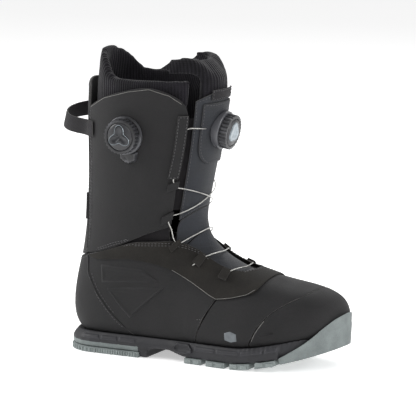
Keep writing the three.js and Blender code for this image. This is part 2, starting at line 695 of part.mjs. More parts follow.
place("midsole_rand", midsoleRand(), blackRubber);
place("toe_rubber", toeRubber(), greyRubber);
place("heel_tread", heelTreadBody(), greyRubber);
lugs.forEach((span, i) => place(`forefoot_lug_${i + 1}`, forefootLug(span), greyRubber));
place("shank", shankStrip(), steel);
place("insole_board", insoleBoard(), boardFibre);
place("insole_cushion", insoleCushion(), linerFoam);
place("footbed", footbed(), linerFoam);
place("tongue_base", tongueBase(), tongueFabric);
place("tongue_upper", tongueUpper(), tongueFabric);
place("tongue_pad", tonguePad(), tongueFabric);
place("label_tab", labelTab(), webbing);
place("liner_bootie", linerBootie(), linerFoam);
place("liner_cuff", linerCuff(), linerFoam);
place("liner_tongue", linerTongue(), linerFoam);

// ---- ankle gussets: fabric behind the V, folding as the cuff leans ----
function ankleGusset(side) {
  const low = onPattern([[-26, 117], [-45, 114], [ankle.x, ankle.z - 6], [-118, 95]]);
  const high = onPattern([[-25, 140], [-45, 134], [ankle.x, ankle.z + 6], [-118, 108]]);
  const [front, rear] = [edge(low[0], high[0]), edge(low.at(-1), high.at(-1))];
  const place = between(edge(...low), edge(...high), front, rear);
  return sheet(place, gussetFace, gussetFace - gussetThickness, 12, 3, side);
}

// The soft stretch of the tongue between its lower and upper plates.
function tongueFlex() {
  const shares = (t) => 0.275 - 0.045 * t;
  const strip = frontStrip(shares, tongueBottomU + 0.08, shellTongueFoot - 0.08);
  return sheet(strip, -tongueDepth, -tongueDepth - tongueThickness, 12, 4);
}

// ---- laces ----
const laceLift = overlayGap + laceRadius + 0.75; // height of the cable over the cuff where a guide holds it
const saddleLift = overlayGap + saddleRise + laceRadius + 1.6; // and over the saddle
const tongueLift = laceRadius + 0.5 - tongueDepth;
const hiddenDepth = 0.5 * (gussetFace - gussetThickness - linerDepth);
const guidePlaces = {
  upper: [-20, 178.5],
  middle: [-27, 145.5],
  ankle: [-21, 117.6],
  instep: [4, 103],
  throat: [32.5, 90],
};

const onSide = ([x, z], side, height) => {
  const [u, v] = seen(x, z);
  return [u, v * side, height];
};
// The stretch of cable from one guide over the tongue to the other side's. Straight is 1 where it runs level
// between its ends, and 0 where it climbs with the sections.
function crossing(from, to, straight, steps = 8) {
  const points = [];
  const [startZ, endZ] = [face(...from).z, face(...to).z];
  for (let i = 1; i < steps; i++) {
    const t = i / steps;
    const out = Math.abs(2 * t - 1) ** 1.3;
    const ends = from[2] + (to[2] - from[2]) * t;
    const v = from[1] + (to[1] - from[1]) * t;
    const sloped = from[0] + (to[0] - from[0]) * t;
    const level = lastWhere((u) => face(u, v).z < startZ + (endZ - startZ) * t, sloped - 4, sloped + 4);
    points.push([sloped + (level - sloped) * straight, v, tongueLift + (ends - tongueLift) * out]);
  }
  return points;
}
function cablePath(places) {
  const points = places.map(([u, v, height]) => onFace(u, v, height));
  return new THREE.CatmullRomCurve3(points, false, "centripetal");
}

function cable(path, radius, steps) {
  const section = new THREE.Shape();
  section.absarc(0, 0, radius, 0, 2 * Math.PI);
  return new THREE.ExtrudeGeometry(section, { steps, curveSegments: 4, extrudePath: path, bevelEnabled: false });
}

// The upper cable: from the tongue's dial down the facings, crossed twice and closed over the ankle.
const tongueDialU = 19.22;
function upperPlaces() {
  const down = (side) => [
    [19.47, 0.16 * side, 1.2],
    [19.57, 0.225 * side, laceLift],
    onSide([-9, 236], side, laceLift),
    onSide([-13, 218], side, laceLift),
    onSide([-19, 190], side, laceLift),
    onSide(guidePlaces.upper, side, laceLift),
  ];
  const middle = (side) => onSide(guidePlaces.middle, side, laceLift);
  const foot = (side) => onSide(guidePlaces.ankle, side, saddleLift);
  const link = (side) => onSide([-24.5, 132], side, laceLift);
  const one = onSide(guidePlaces.upper, -1, laceLift);
  const two = onSide(guidePlaces.upper, 1, laceLift);
  return [
    ...down(-1),
    ...crossing(one, middle(1), 0.9),
    middle(1),
    link(1),
    foot(1),
    ...crossing(foot(1), foot(-1), 0.3),
    foot(-1),
    link(-1),
    middle(-1),
    ...crossing(middle(-1), two, 0.9),
    ...down(1).reverse(),
  ];
}

// The lower cable: from the side dial down behind the cuff to the instep, over and back at the throat.
const sideDial = [-69, 227.5];
function lowerPlaces() {
  const guide = (name, side) => onSide(guidePlaces[name], side, saddleLift);
  const under = (point, side) => onSide(point, side, hiddenDepth);
  return [
    onSide([-68, 210.5], -1, 1.6),
    onSide([-66, 202.5], -1, 0.4),
    under([-63, 194.5], -1),
    under([-56, 176], -1),
    under([-48, 150], -1),
    under([-39, 122], -1),
    under([-23, 103], -1),
    onSide([-9, 97], -1, hiddenDepth + 0.6),
    onSide([0, 98.5], -1, saddleLift - 1),
    guide("instep", -1),
    ...crossing(guide("instep", -1), guide("instep", 1), 0.4),
    guide("instep", 1),
    onSide([5, 99], 1, saddleLift),
    onSide([15, 94.5], 1, saddleLift),
    onSide([24, 89.5], 1, saddleLift),
    guide("throat", 1),
    ...crossing(guide("throat", 1), guide("throat", -1), 0.3),
    guide("throat", -1),
    onSide([31, 88.6], -1, saddleLift),
  ];
}

const cableSteps = 60;
const upperPath = cablePath(upperPlaces());
const lowerPath = cablePath(lowerPlaces());
const cableRoom = laceRadius + fitGap;
const upperRoom = solid(cable(upperPath, cableRoom, cableSteps));
const lowerRoom = solid(cable(lowerPath, cableRoom, cableSteps));

const onCuff = [overlayGap, laceLift + cableRoom + guideRoof];
const onSaddle = [overlayGap + saddleRise + fitGap, saddleLift + cableRoom + guideRoof];
// A guide: a sewn patch with a passage for the cable.
function guide(name, side, alongU, alongV, [low, high], room) {
  const [u, v] = seen(...guidePlaces[name]);
  const place = (s, t) => [u + (s - 0.5) * alongU, v + (t - 0.45) * alongV];
  return without(sheet(place, high, low, 2, 3, side), room);
}

// ---- dials ----
const spoolTop = 6.6;
const collarTop = 7.6;
const gripBottom = 4.6;
const gripTop = 12.4;
const recessFloor = 10.6;
const round = (radius, low, high, segments = 28) => {
  const geometry = new THREE.CylinderGeometry(radius, radius, high - low, segments);
  geometry.rotateX(Math.PI / 2);
  geometry.translate(0, 0, (low + high) / 2);
  return geometry;
};
// A body turned about z from a closed outline of radius and height.
function turned(outline, segments = 28) {
  const points = [...outline, outline[0]].map(([r, z]) => new THREE.Vector2(r, z));
  return new THREE.LatheGeometry(points, segments).rotateX(Math.PI / 2);
}

const dialBore = axleRadius + dialRunningGap;
const pocketRadius = spoolRadius + dialRunningGap;
const collarRadius = pocketRadius + 2.6;
const baseDepth = 9; // how far the base reaches down before it is cut to the boot's face

const dialBaseBody = () =>
  solid(
    turned([
      [dialBore, -baseDepth],
      [dialBaseRadius - 1.5, -baseDepth],
      [dialBaseRadius, 1.4],
      [dialBaseRadius, dialBaseHeight - 0.8],
      [dialBaseRadius - 0.8, dialBaseHeight],
      [collarRadius, dialBaseHeight],
      [collarRadius, collarTop],
      [pocketRadius, collarTop],
      [pocketRadius, 1.2],
      [dialBore, 1.2],
    ]),
  );

const dialSpool = () =>
  turned([
    [dialBore, 1.5],
    [spoolRadius, 1.5],
    [spoolRadius, 2.3],
    [spoolRadius - 2, 2.9],
    [spoolRadius - 2, 5.2],
    [spoolRadius, 5.8],
    [spoolRadius, spoolTop],
    [dialBore, spoolTop],
  ]);

const dialPawlRing = () =>
  turned([
    [dialBore, spoolTop + 0.4],
    [spoolRadius, spoolTop + 0.4],
    [spoolRadius, collarTop + 0.6],
    [dialBore, collarTop + 0.6],
  ]);

function dialKnob() {
  const grip = new THREE.Shape();
  const count = gripTeeth * 4;
  for (let i = 0; i < count; i++) {
    const angle = (2 * Math.PI * i) / count;
    const radius = dialRadius - gripDepth * (i % 4 === 0 ? 1 : i % 2 ? 0.45 : 0);
    if (i) grip.lineTo(radius * Math.cos(angle), radius * Math.sin(angle));
    else grip.moveTo(radius, 0);
  }
  grip.closePath();
  const body = new THREE.ExtrudeGeometry(grip, { depth: gripTop - gripBottom, bevelEnabled: false });
  body.translate(0, 0, gripBottom);
  const under = round(collarRadius + dialRunningGap, gripBottom - 1, collarTop + 1);
  const recess = round(dialRadius - 3.4, recessFloor, gripTop + 1);
  const bore = round(dialBore, 0, gripTop + 1, 20);
  return geometryOf(solid(body).subtract(solid(under)).subtract(solid(recess)).subtract(solid(bore)));
}

const capRadius = dialRadius - 3.9;
const dialCap = () =>
  turned([
    [0, recessFloor + 0.4],
    [capRadius, recessFloor + 0.4],
    [capRadius, gripTop - 0.2],
    [capRadius - 1.2, gripTop + 0.6],
    [0, gripTop + 1],
  ]);

const dialAxle = () => round(axleRadius, 0.9, recessFloor + 0.1, 16);

// A dial on the boot's face: z of its own parts runs along the outward axis.
function dialAt(name, foot, axis, seat, room) {
  const turn = new THREE.Quaternion().setFromUnitVectors(new THREE.Vector3(0, 0, 1), axis);
  const matrix = new THREE.Matrix4().compose(foot, turn, new THREE.Vector3(1, 1, 1));
  const world = (geometry) => geometry.applyMatrix4(matrix);
  const base = solid(world(geometryOf(dialBaseBody()))).subtract(seat).subtract(room);
  place(`${name}_base`, geometryOf(largest(base)), hardPlastic);
  place(`${name}_spool`, world(dialSpool()), hardPlastic);
  place(`${name}_axle`, world(dialAxle()), steel);
  place(`${name}_pawl_ring`, world(dialPawlRing()), steel);
  place(`${name}_knob`, world(dialKnob()), hardPlastic);
  place(`${name}_cap`, world(dialCap()), capPlastic);
}

// ---- pull loop ----
const loopStandOff = 27.5; // how far the loop's tip stands behind the shell
const loopHeight = 236;
const loopTilt = 7; // the inner end sits this much higher than the middle, the outer end as much lower
function pullLoop() {
  const [loopU] = seen(-129, loopHeight);
  const rear = onFace(loopU, 1);
  const branch = (side) => {
    const z = loopHeight + loopTilt * side;
    const on = (x, lift) => onFace(...onSide([x, z], side, overlayGap + lift));
    const free = (share, y) => {
      const lift = (loopTilt * side * y) / 30;
      return new THREE.Vector3(rear.x - share * loopStandOff, y * gradeY * side, rear.z + lift);
    };
    return [on(-111, 0), on(-117, 0.2), on(-123, 1.2), free(0.45, 22), free(0.86, 12)];
  };
  const tip = new THREE.Vector3(rear.x - loopStandOff, 0, rear.z);
  const path = new THREE.CatmullRomCurve3([...branch(-1), tip, ...branch(1).reverse()]);
  const rings = [];
  const steps = 26;
  for (let i = 0; i <= steps; i++) {
    const lean = 0.25 * Math.sin((Math.PI * i) / steps);
    const up = new THREE.Vector3(lean, 0, 1).normalize();
    const middle = path.getPoint(i / steps);
    const out = up.clone().cross(path.getTangent(i / steps)).normalize();
    const corner = (o, w) => {
      const place = middle.clone().addScaledVector(out, o * loopThickness);
      return place.addScaledVector(up, w * loopWidth);
    };
    rings.push([corner(0, -0.5), corner(1, -0.5), corner(1, 0.5), corner(0, 0.5)]);
  }
  return loft(rings);
}

place("toe_cap", toeCap(), leather);
place("vamp", vamp(), leather);
place("quarter_lateral", without(quarter(-1), lowerRoom), leather);
place("quarter_medial", quarter(1), leather);
place("heel_counter", heelCounter(), leather);
place("eyestay_saddle", without(saddle(), lowerRoom), saddleLeather);
place("cuff_lateral", without(cuffPanel(-1), lowerRoom), leather);
place("cuff_medial", cuffPanel(1), leather);
place("backstay", backstay(), leather);
place("facing_lateral", without(facing(-1), upperRoom), leather);
place("facing_medial", without(facing(1), upperRoom), leather);
place("tongue_flex", tongueFlex(), tongueFabric);
for (const [name, side] of [["lateral", -1], ["medial", 1]]) {
  place(`ankle_gusset_${name}`, ankleGusset(side), tongueFabric);
  place(`upper_guide_${name}`, guide("upper", side, 0.4, 0.06, onCuff, upperRoom), webbing);
  place(`middle_guide_${name}`, guide("middle", side, 0.6, 0.06, onCuff, upperRoom), webbing);
  place(`ankle_guide_${name}`, guide("ankle", side, 0.6, 0.06, onSaddle, upperRoom), webbing);
  place(`instep_guide_${name}`, guide("instep", side, 0.55, 0.07, onSaddle, lowerRoom), webbing);
  place(`throat_guide_${name}`, guide("throat", side, 0.5, 0.07, onSaddle, lowerRoom), webbing);
}
place("upper_lace", cable(upperPath, laceRadius, cableSteps), steel);
place("lower_lace", cable(lowerPath, laceRadius, cableSteps), steel);
const [sideU, sideV] = seen(...sideDial);
const cuffSeat = lastSolid(fitGap, 14, 72);
dialAt("side_dial", onFace(sideU, -sideV), new THREE.Vector3(0, -1, 0), cuffSeat, lowerRoom);
const tongueSeat = lastSolid(padFace + fitGap, 14, 72);
const tongueFoot = onFace(tongueDialU, 0, padFace + fitGap);
const tongueAxis = onFace(tongueDialU, 0, 1).sub(onFace(tongueDialU, 0, 0)).normalize();
dialAt("tongue_dial", tongueFoot, tongueAxis, tongueSeat, upperRoom);
place("pull_loop", pullLoop(), webbing);

export default boot;
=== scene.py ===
import json
import math

import bmesh
import bpy
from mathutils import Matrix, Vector, noise
from mathutils.bvhtree import BVHTree

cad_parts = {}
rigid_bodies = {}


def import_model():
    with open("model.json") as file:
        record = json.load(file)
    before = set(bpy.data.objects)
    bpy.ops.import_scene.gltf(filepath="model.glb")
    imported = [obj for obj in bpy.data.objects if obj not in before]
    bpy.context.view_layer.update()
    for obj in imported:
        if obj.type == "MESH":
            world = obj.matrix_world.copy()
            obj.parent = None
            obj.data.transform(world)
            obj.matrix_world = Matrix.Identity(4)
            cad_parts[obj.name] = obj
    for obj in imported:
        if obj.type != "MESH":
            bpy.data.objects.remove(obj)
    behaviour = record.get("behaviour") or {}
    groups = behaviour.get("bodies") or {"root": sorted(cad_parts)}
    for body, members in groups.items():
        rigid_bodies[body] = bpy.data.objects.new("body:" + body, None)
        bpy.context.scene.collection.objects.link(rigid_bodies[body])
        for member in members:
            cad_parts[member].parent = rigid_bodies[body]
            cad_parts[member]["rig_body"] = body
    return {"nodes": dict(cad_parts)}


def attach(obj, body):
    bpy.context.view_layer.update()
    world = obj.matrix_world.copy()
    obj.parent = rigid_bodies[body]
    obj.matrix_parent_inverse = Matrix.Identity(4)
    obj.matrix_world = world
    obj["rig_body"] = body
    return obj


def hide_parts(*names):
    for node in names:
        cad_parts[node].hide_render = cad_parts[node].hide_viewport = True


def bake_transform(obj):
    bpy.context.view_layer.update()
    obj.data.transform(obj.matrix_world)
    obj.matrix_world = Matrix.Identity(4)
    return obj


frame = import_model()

mm = 0.001
scene = bpy.context.scene
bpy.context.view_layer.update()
print("frame loaded:", len(frame["nodes"]), "nodes")

# ---- camera ----
view = {
    "azimuth": 26,  # degrees, from straight onto the outer side towards the toe
    "elevation": 10,
    "width": 0.42,  # metres across the picture at the boot
    "aim": (-0.001, 0.149),  # metres right and up from the frame's origin
    "lens": 400,  # mm, long enough that the boot looks nearly parallel
    "sensor": 36,
}


def addCamera():
    turn, tilt = math.radians(view["azimuth"]), math.radians(view["elevation"])
    back = Vector((math.sin(turn) * math.cos(tilt), -math.cos(turn) * math.cos(tilt), math.sin(tilt)))
    right = Vector((math.cos(turn), math.sin(turn), 0))
    up = back.cross(right)
    aim = right * view["aim"][0] + up * view["aim"][1]
    bpy.ops.object.camera_add(location=aim + back * (view["width"] * view["lens"] / view["sensor"]))
    camera = bpy.context.object
    camera.name = "camera"
    camera.rotation_euler = (-back).to_track_quat("-Z", "Y").to_euler()
    camera.data.lens = view["lens"]
    camera.data.sensor_width = view["sensor"]
    scene.camera = camera


addCamera()


# ---- materials ----
def linearColour(hexValue):
    parts = [int(hexValue[i:i + 2], 16) / 255 for i in (0, 2, 4)]
    return [p / 12.92 if p <= 0.04045 else ((p + 0.055) / 1.055) ** 2.4 for p in parts] + [1]


def addNode(tree, kind, settings):
    # each setting is a property, a socket to link from, or a socket's plain value
    node = tree.nodes.new(kind)
    for key, value in settings.items():
        if isinstance(key, str) and hasattr(node, key):
            setattr(node, key, value)
        elif isinstance(value, bpy.types.NodeSocket):
            tree.links.new(value, node.inputs[key])
        else:
            node.inputs[key].default_value = value
    return node


def wave(tree, source, size):
    # a sine along one coordinate in metres, one cycle for each size
    scaled = addNode(tree, "ShaderNodeMath", {"operation": "MULTIPLY", 0: source, 1: 2 * math.pi / size})
    return addNode(tree, "ShaderNodeMath", {"operation": "SINE", 0: scaled.outputs[0]}).outputs[0]


def weavePattern(tree, along, up, size):
    # plain weave: threads over and under each other
    crossed = {"operation": "MULTIPLY", 0: wave(tree, along, size), 1: wave(tree, up, size)}
    return addNode(tree, "ShaderNodeMath", crossed).outputs[0]


def twillPattern(tree, along, up, size):
    diagonal = addNode(tree, "ShaderNodeMath", {"operation": "ADD", 0: along, 1: up})
    return wave(tree, diagonal.outputs[0], size)


def ribPattern(tree, along, up, size):
    # ribs with a shallow ripple up each one
    ripple = addNode(tree, "ShaderNodeMath", {"operation": "MULTIPLY", 0: wave(tree, up, size * 0.6),
                                              1: 0.3})
    ribs = {"operation": "ADD", 0: wave(tree, along, size), 1: ripple.outputs[0]}
    return addNode(tree, "ShaderNodeMath", ribs).outputs[0]


def ripstopPattern(tree, along, up, size):
    # a fine weave with a heavier thread each way at every size
    nearest = {"operation": "MAXIMUM", 0: wave(tree, along, size), 1: wave(tree, up, size)}
    lines = addNode(tree, "ShaderNodeMath", nearest)
    thread = addNode(tree, "ShaderNodeMath", {"operation": "GREATER_THAN", 0: lines.outputs[0], 1: 0.93})
    heavy = addNode(tree, "ShaderNodeMath", {"operation": "MULTIPLY", 0: thread.outputs[0], 1: 0.8})
    weave = weavePattern(tree, along, up, size / 6)
    fine = addNode(tree, "ShaderNodeMath", {"operation": "MULTIPLY", 0: weave, 1: 0.4})
    both = {"operation": "ADD", 0: heavy.outputs[0], 1: fine.outputs[0]}
    return addNode(tree, "ShaderNodeMath", both).outputs[0]


def makeFinish(name, look):
    material = bpy.data.materials.new(name)
    material.use_nodes = True
    tree = material.node_tree
    shader = tree.nodes["Principled BSDF"]
    texture = addNode(tree, "ShaderNodeTexCoord", {})
    place = texture.outputs["Object"]
    blotch = addNode(tree, "ShaderNodeTexNoise",
                     {"Scale": 1 / look["blotch"], "Detail": 4, "Vector": place})
    grain = addNode(tree, "ShaderNodeTexNoise", {"Scale": 1 / look["grain"], "Detail": 3, "Vector": place})
    height = grain.outputs["Fac"]
    tone = blotch.outputs["Fac"]
    if "pattern" in look:
        if look.get("mapped"):
            split = addNode(tree, "ShaderNodeSeparateXYZ", {"Vector": texture.outputs["UV"]}).outputs
            along, up = split["X"], split["Y"]
        else:
            split = addNode(tree, "ShaderNodeSeparateXYZ", {"Vector": place}).outputs
            across = {"operation": "ADD", 0: split["X"], 1: split["Y"]}
            along, up = addNode(tree, "ShaderNodeMath", across).outputs[0], split["Z"]
        threads = look["pattern"](tree, along, up, look["thread"])
        raised = {"operation": "MULTIPLY_ADD", 0: threads, 1: look["threadShare"], 2: height}
        height = addNode(tree, "ShaderNodeMath", raised).outputs[0]
        shaded = {"operation": "MULTIPLY_ADD", 0: threads, 1: look["threadTone"], 2: tone}
        tone = addNode(tree, "ShaderNodeMath", shaded).outputs[0]
    # the grain's middle value, 0.5, leaves the tone as it is
    speck = look.get("speck", 0.6)
    specks = {"operation": "MULTIPLY_ADD", 0: grain.outputs["Fac"], 1: speck, 2: -0.5 * speck}
    speckled = {"operation": "ADD", 0: tone, 1: addNode(tree, "ShaderNodeMath", specks).outputs[0]}
    ramp = addNode(tree, "ShaderNodeValToRGB",
                   {"Fac": addNode(tree, "ShaderNodeMath", speckled).outputs[0]})
    for element, position, shade in zip(ramp.color_ramp.elements, (0.25, 0.78), ("dark", "light")):
        element.position = position
        element.color = linearColour(look[shade])
    colour = ramp.outputs["Color"]
    if "wornAndHighlight" in look:
        # the raised edges are painted paler: partly rubbed wear, partly a painted highlight
        wornAndHighlight = addNode(tree, "ShaderNodeNewGeometry", {}).outputs["Pointiness"]
        wornAndHighlightRange = {"Value": wornAndHighlight, "From Min": 0.52, "From Max": 0.6, "To Max": look["wornAndHighlightShare"]}
        edge = addNode(tree, "ShaderNodeMapRange", wornAndHighlightRange).outputs[0]
        mixed = {"data_type": "RGBA", 0: edge, 6: colour, 7: linearColour(look["wornAndHighlight"])}
        colour = addNode(tree, "ShaderNodeMix", mixed).outputs[2]
    tree.links.new(colour, shader.inputs["Base Color"])
    low, high = look["roughness"]
    spread = {"Value": blotch.outputs["Fac"], "From Min": 0.3, "From Max": 0.7, "To Min": low,
              "To Max": high}
    tree.links.new(addNode(tree, "ShaderNodeMapRange", spread).outputs[0], shader.inputs["Roughness"])
    bump = addNode(tree, "ShaderNodeBump", {"Strength": 0.5, "Distance": look["depth"], "Height": height})
    tree.links.new(bump.outputs[0], shader.inputs["Normal"])
    plain = {
        "Metallic": look.get("metallic", 0),
        "Specular IOR Level": look.get("specular", 0.5),
        "IOR": look.get("ior", shader.inputs["IOR"].default_value),
        "Sheen Weight": look.get("sheen", 0),
        "Sheen Roughness": 0.5,
        "Coat Weight": look.get("coat", 0),
        "Coat Roughness": 0.2,
    }
    for socket, value in plain.items():
        shader.inputs[socket].default_value = value
    return material


looks = {
    # PU-coated microfibre, embossed with a fine cloth grain: matte, and slightly purple where light grazes it
    "coatedMicrofibre": {
        "dark": "161617", "light": "262526", "blotch": 30 * mm, "grain": 0.9 * mm, "depth": 0.25 * mm,
        "roughness": (0.62, 0.8), "sheen": 0.04, "specular": 0.3, "ior": 1.48,
        "pattern": weavePattern, "thread": 1.6 * mm, "threadShare": 0.35, "threadTone": 0.05,
        "wornAndHighlight": "464547", "wornAndHighlightShare": 0.3,
    },
    # brushed synthetic nubuck: brownish black and soft, with no shine
    "brushedNubuck": {
        "dark": "1a1816", "light": "2b2926", "blotch": 22 * mm, "grain": 0.7 * mm, "depth": 0.3 * mm,
        "roughness": (0.78, 0.92), "sheen": 0.06, "specular": 0.25, "ior": 1.46, "speck": 0.9,
        "wornAndHighlight": "55524c", "wornAndHighlightShare": 0.3,
    },
    # rim of the coated cloth, painted pale as a thin highlight line along its edge
    "paintedRimHighlight": {
        "dark": "3a3939", "light": "605f5d", "blotch": 6 * mm, "grain": 0.5 * mm, "depth": 0.1 * mm,
        "roughness": (0.7, 0.85),
    },
    # nylon ripstop over foam: bluish dark grey with a faint square grid
    "ripstopNylon": {
        "dark": "16181c", "light": "262930", "blotch": 26 * mm, "grain": 0.8 * mm, "depth": 0.2 * mm,
        "roughness": (0.55, 0.72), "sheen": 0.05, "specular": 0.35, "ior": 1.53,
        "pattern": ripstopPattern, "thread": 4.2 * mm, "threadShare": 0.8, "threadTone": 0.12,
    },
    # ribbed plush lining: soft pile in narrow ribs, almost black with a purple cast
    "ribbedPlush": {
        "dark": "0c0b0e", "light": "211f24", "blotch": 18 * mm, "grain": 0.9 * mm, "depth": 0.6 * mm,
        "roughness": (0.9, 1.0), "sheen": 0.12, "specular": 0.15, "ior": 1.5,
        "pattern": ribPattern, "thread": 3.2 * mm, "threadShare": 0.8, "threadTone": 0.14, "mapped": True,
    },
    # knitted face of the liner, below the pile
    "linerKnit": {
        "dark": "131214", "light": "252325", "blotch": 20 * mm, "grain": 0.8 * mm, "depth": 0.35 * mm,
        "roughness": (0.85, 0.95), "sheen": 0.06, "specular": 0.2,
        "pattern": weavePattern, "thread": 1.8 * mm, "threadShare": 0.7, "threadTone": 0.1, "mapped": True,
    },
    # moulded black rubber, satin from the tool's surface
    "mouldedRubber": {
        "dark": "1b1b1e", "light": "2c2c30", "blotch": 14 * mm, "grain": 0.6 * mm, "depth": 0.12 * mm,
        "roughness": (0.48, 0.65), "specular": 0.4, "ior": 1.52, "wornAndHighlight": "4a4a50", "wornAndHighlightShare": 0.35,
    },
    # moulded grey rubber, a little green, chalky where it has rubbed, its edges also painted paler as a
    # highlight
    "greyOutsole": {
        "dark": "5f6666", "light": "7f8786", "blotch": 16 * mm, "grain": 0.7 * mm, "depth": 0.12 * mm,
        "roughness": (0.6, 0.78), "ior": 1.52, "wornAndHighlight": "a4acab", "wornAndHighlightShare": 0.35,
    },
    # polyester webbing in a twill weave
    "twillWebbing": {
        "dark": "141315", "light": "2c2a2d", "blotch": 12 * mm, "grain": 0.6 * mm, "depth": 0.3 * mm,
        "roughness": (0.75, 0.9), "sheen": 0.05, "specular": 0.3,
        "pattern": twillPattern, "thread": 1.6 * mm, "threadShare": 1.0, "threadTone": 0.25,
    },
    # glass-filled nylon, moulded satin black
    "mouldedNylon": {
        "dark": "151517", "light": "242427", "blotch": 9 * mm, "grain": 0.4 * mm, "depth": 0.05 * mm,
        "roughness": (0.28, 0.42), "ior": 1.53, "wornAndHighlight": "6a6b70", "wornAndHighlightShare": 0.5,
    },
    # painted nylon cap, metallic dark grey
    "paintedCap": {
        "dark": "1d1e21", "light": "323439", "blotch": 7 * mm, "grain": 0.25 * mm, "depth": 0.04 * mm,
        "roughness": (0.28, 0.4), "metallic": 0.35, "coat": 0.3, "speck": 1.2,
    },
    # painted nylon, silver grey
    "silverCap": {
        "dark": "7c868c", "light": "a9b2b8", "blotch": 8 * mm, "grain": 0.3 * mm, "depth": 0.04 * mm,
        "roughness": (0.25, 0.38), "metallic": 0.55, "coat": 0.3, "speck": 1.0,
    },
    # satin grey badge
    "greyBadge": {
        "dark": "5c6165", "light": "6f7579", "blotch": 4 * mm, "grain": 0.2 * mm, "depth": 0.03 * mm,
        "roughness": (0.4, 0.5), "specular": 0.5,
    },
    # braided stainless cable with a clear nylon coat
    "coatedCable": {
        "dark": "8e8d8a", "light": "dcdbd6", "blotch": 5 * mm, "grain": 0.5 * mm, "depth": 0.1 * mm,
        "roughness": (0.3, 0.45), "metallic": 0.75, "coat": 0.5,
        "pattern": twillPattern, "thread": 1.1 * mm, "threadShare": 0.8, "threadTone": 0.3,
    },
    # bonded polyester sewing thread, waxed
    "sewingThread": {
        "dark": "3a393b", "light": "565557", "blotch": 3 * mm, "grain": 0.3 * mm, "depth": 0.05 * mm,
        "roughness": (0.5, 0.6),
    },
    # black polyurethane piping, slightly glossy
    "blackPiping": {
        "dark": "080809", "light": "121213", "blotch": 8 * mm, "grain": 0.4 * mm, "depth": 0.04 * mm,
        "roughness": (0.4, 0.5), "specular": 0.4,
    },
    # pale strip, a painted highlight line laid along an edge
    "paleHighlightLine": {
        "dark": "5a5957", "light": "82817d", "blotch": 3 * mm, "grain": 0.3 * mm, "depth": 0.05 * mm,
        "roughness": (0.6, 0.7),
    },
    # pressed cellulose board
    "celluloseBoard": {
        "dark": "6f6046", "light": "97855f", "blotch": 9 * mm, "grain": 0.6 * mm, "depth": 0.1 * mm,
        "roughness": (0.85, 0.95), "speck": 1.4,
    },
    # EVA foam with a brushed cloth cover
    "foamCover": {
        "dark": "2a2a2d", "light": "46464a", "blotch": 15 * mm, "grain": 0.7 * mm, "depth": 0.25 * mm,
        "roughness": (0.88, 0.96), "sheen": 0.2,
    },
    # cold-rolled spring steel
    "springSteel": {
        "dark": "85878a", "light": "b7b9bb", "blotch": 10 * mm, "grain": 0.3 * mm, "depth": 0.03 * mm,
        "roughness": (0.3, 0.45), "metallic": 1.0,
    },
}
finishes = {name: makeFinish(name, look) for name, look in looks.items()}
print("materials:", len(finishes))


# ---- working on a mesh ----
def focus(piece):
    bpy.ops.object.select_all(action="DESELECT")
    piece.hide_set(False)
    piece.select_set(True)
    bpy.context.view_layer.objects.active = piece


def editAll(piece, *steps):
    # each step is an operator and its settings, run with everything selected
    focus(piece)
    bpy.ops.object.mode_set(mode="EDIT")
    for operator, settings in steps:
        bpy.ops.mesh.select_all(action="SELECT")
        operator(**settings)
    bpy.ops.object.mode_set(mode="OBJECT")


def finishWith(piece, kind, **settings):
    focus(piece)
    modifier = piece.modifiers.new(kind.title(), kind)
    for key, value in settings.items():
        setattr(modifier, key, value)
    bpy.ops.object.modifier_apply(modifier=modifier.name)


def smoothShade(piece, degrees=None):
    focus(piece)
    if degrees is None:
        bpy.ops.object.shade_smooth(keep_sharp_edges=False)
    else:
        bpy.ops.object.shade_smooth_by_angle(angle=math.radians(degrees))


def copyOf(node, name):
    piece = bpy.data.objects.new(name, frame["nodes"][node].data.copy())
    scene.collection.objects.link(piece)
    piece.data.materials.clear()
    for stored in ("custom_normal", "sharp_edge", "sharp_face"):
        if stored in piece.data.attributes:
            piece.data.attributes.remove(piece.data.attributes[stored])
    quads = {"face_threshold": math.radians(50), "shape_threshold": math.radians(80)}
    editAll(piece, (bpy.ops.mesh.remove_doubles, {"threshold": 0.02 * mm}),
            (bpy.ops.mesh.tris_convert_to_quads, quads))
    return piece


def dress(piece, slot, body, *names):
    for name in names:
        piece.data.materials.append(finishes[name])
    if body:
        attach(piece, body)
    return piece


def markRim(piece, degrees):
    # the two broad faces of a sheet keep material 0, and its rim gets material 1
    work = bmesh.new()
    work.from_mesh(piece.data)
    limit = math.radians(degrees)
    sharp = {e for e in work.edges if len(e.link_faces) == 2 and e.calc_face_angle() > limit}
    left, regions = set(work.faces), []
    while left:
        region, edgeFaces = set(), [next(iter(left))]
        while edgeFaces:
            face = edgeFaces.pop()
            if face not in left:
                continue
            left.discard(face)
            region.add(face)
            edgeFaces += [f for e in face.edges if e not in sharp for f in e.link_faces if f in left]
        regions.append(region)
    regions.sort(key=lambda r: -sum(f.calc_area() for f in r))
    for rank, region in enumerate(regions):
        for face in region:
            face.material_index = 0 if rank < 2 else 1
    for part in (*work.faces, *work.edges, *work.verts):
        part.select = False
    for edge in sharp:
        edge.select = True
        for vertex in edge.verts:
            vertex.select = True
    work.to_mesh(piece.data)
    work.free()


def bevelSelected(piece, width, segments):
    scene.tool_settings.mesh_select_mode = (False, True, False)
    focus(piece)
    bpy.ops.object.mode_set(mode="EDIT")
    bpy.ops.mesh.bevel(offset=width, segments=segments, affect="EDGES")
    bpy.ops.object.mode_set(mode="OBJECT")


def sewnPanel(node, name, slot, finish, rim="paintedRimHighlight", body=None, width=0.55 * mm, levels=2):
    # a cut panel with rounded edges, whose rim is painted pale as a highlight
    piece = copyOf(node, name)
    markRim(piece, degrees=48)
    bevelSelected(piece, width, 2)
    finishWith(piece, "SUBSURF", levels=levels, render_levels=levels)
    smoothShade(piece)
    dress(piece, slot, body, finish, rim)
    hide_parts(node)
    return piece


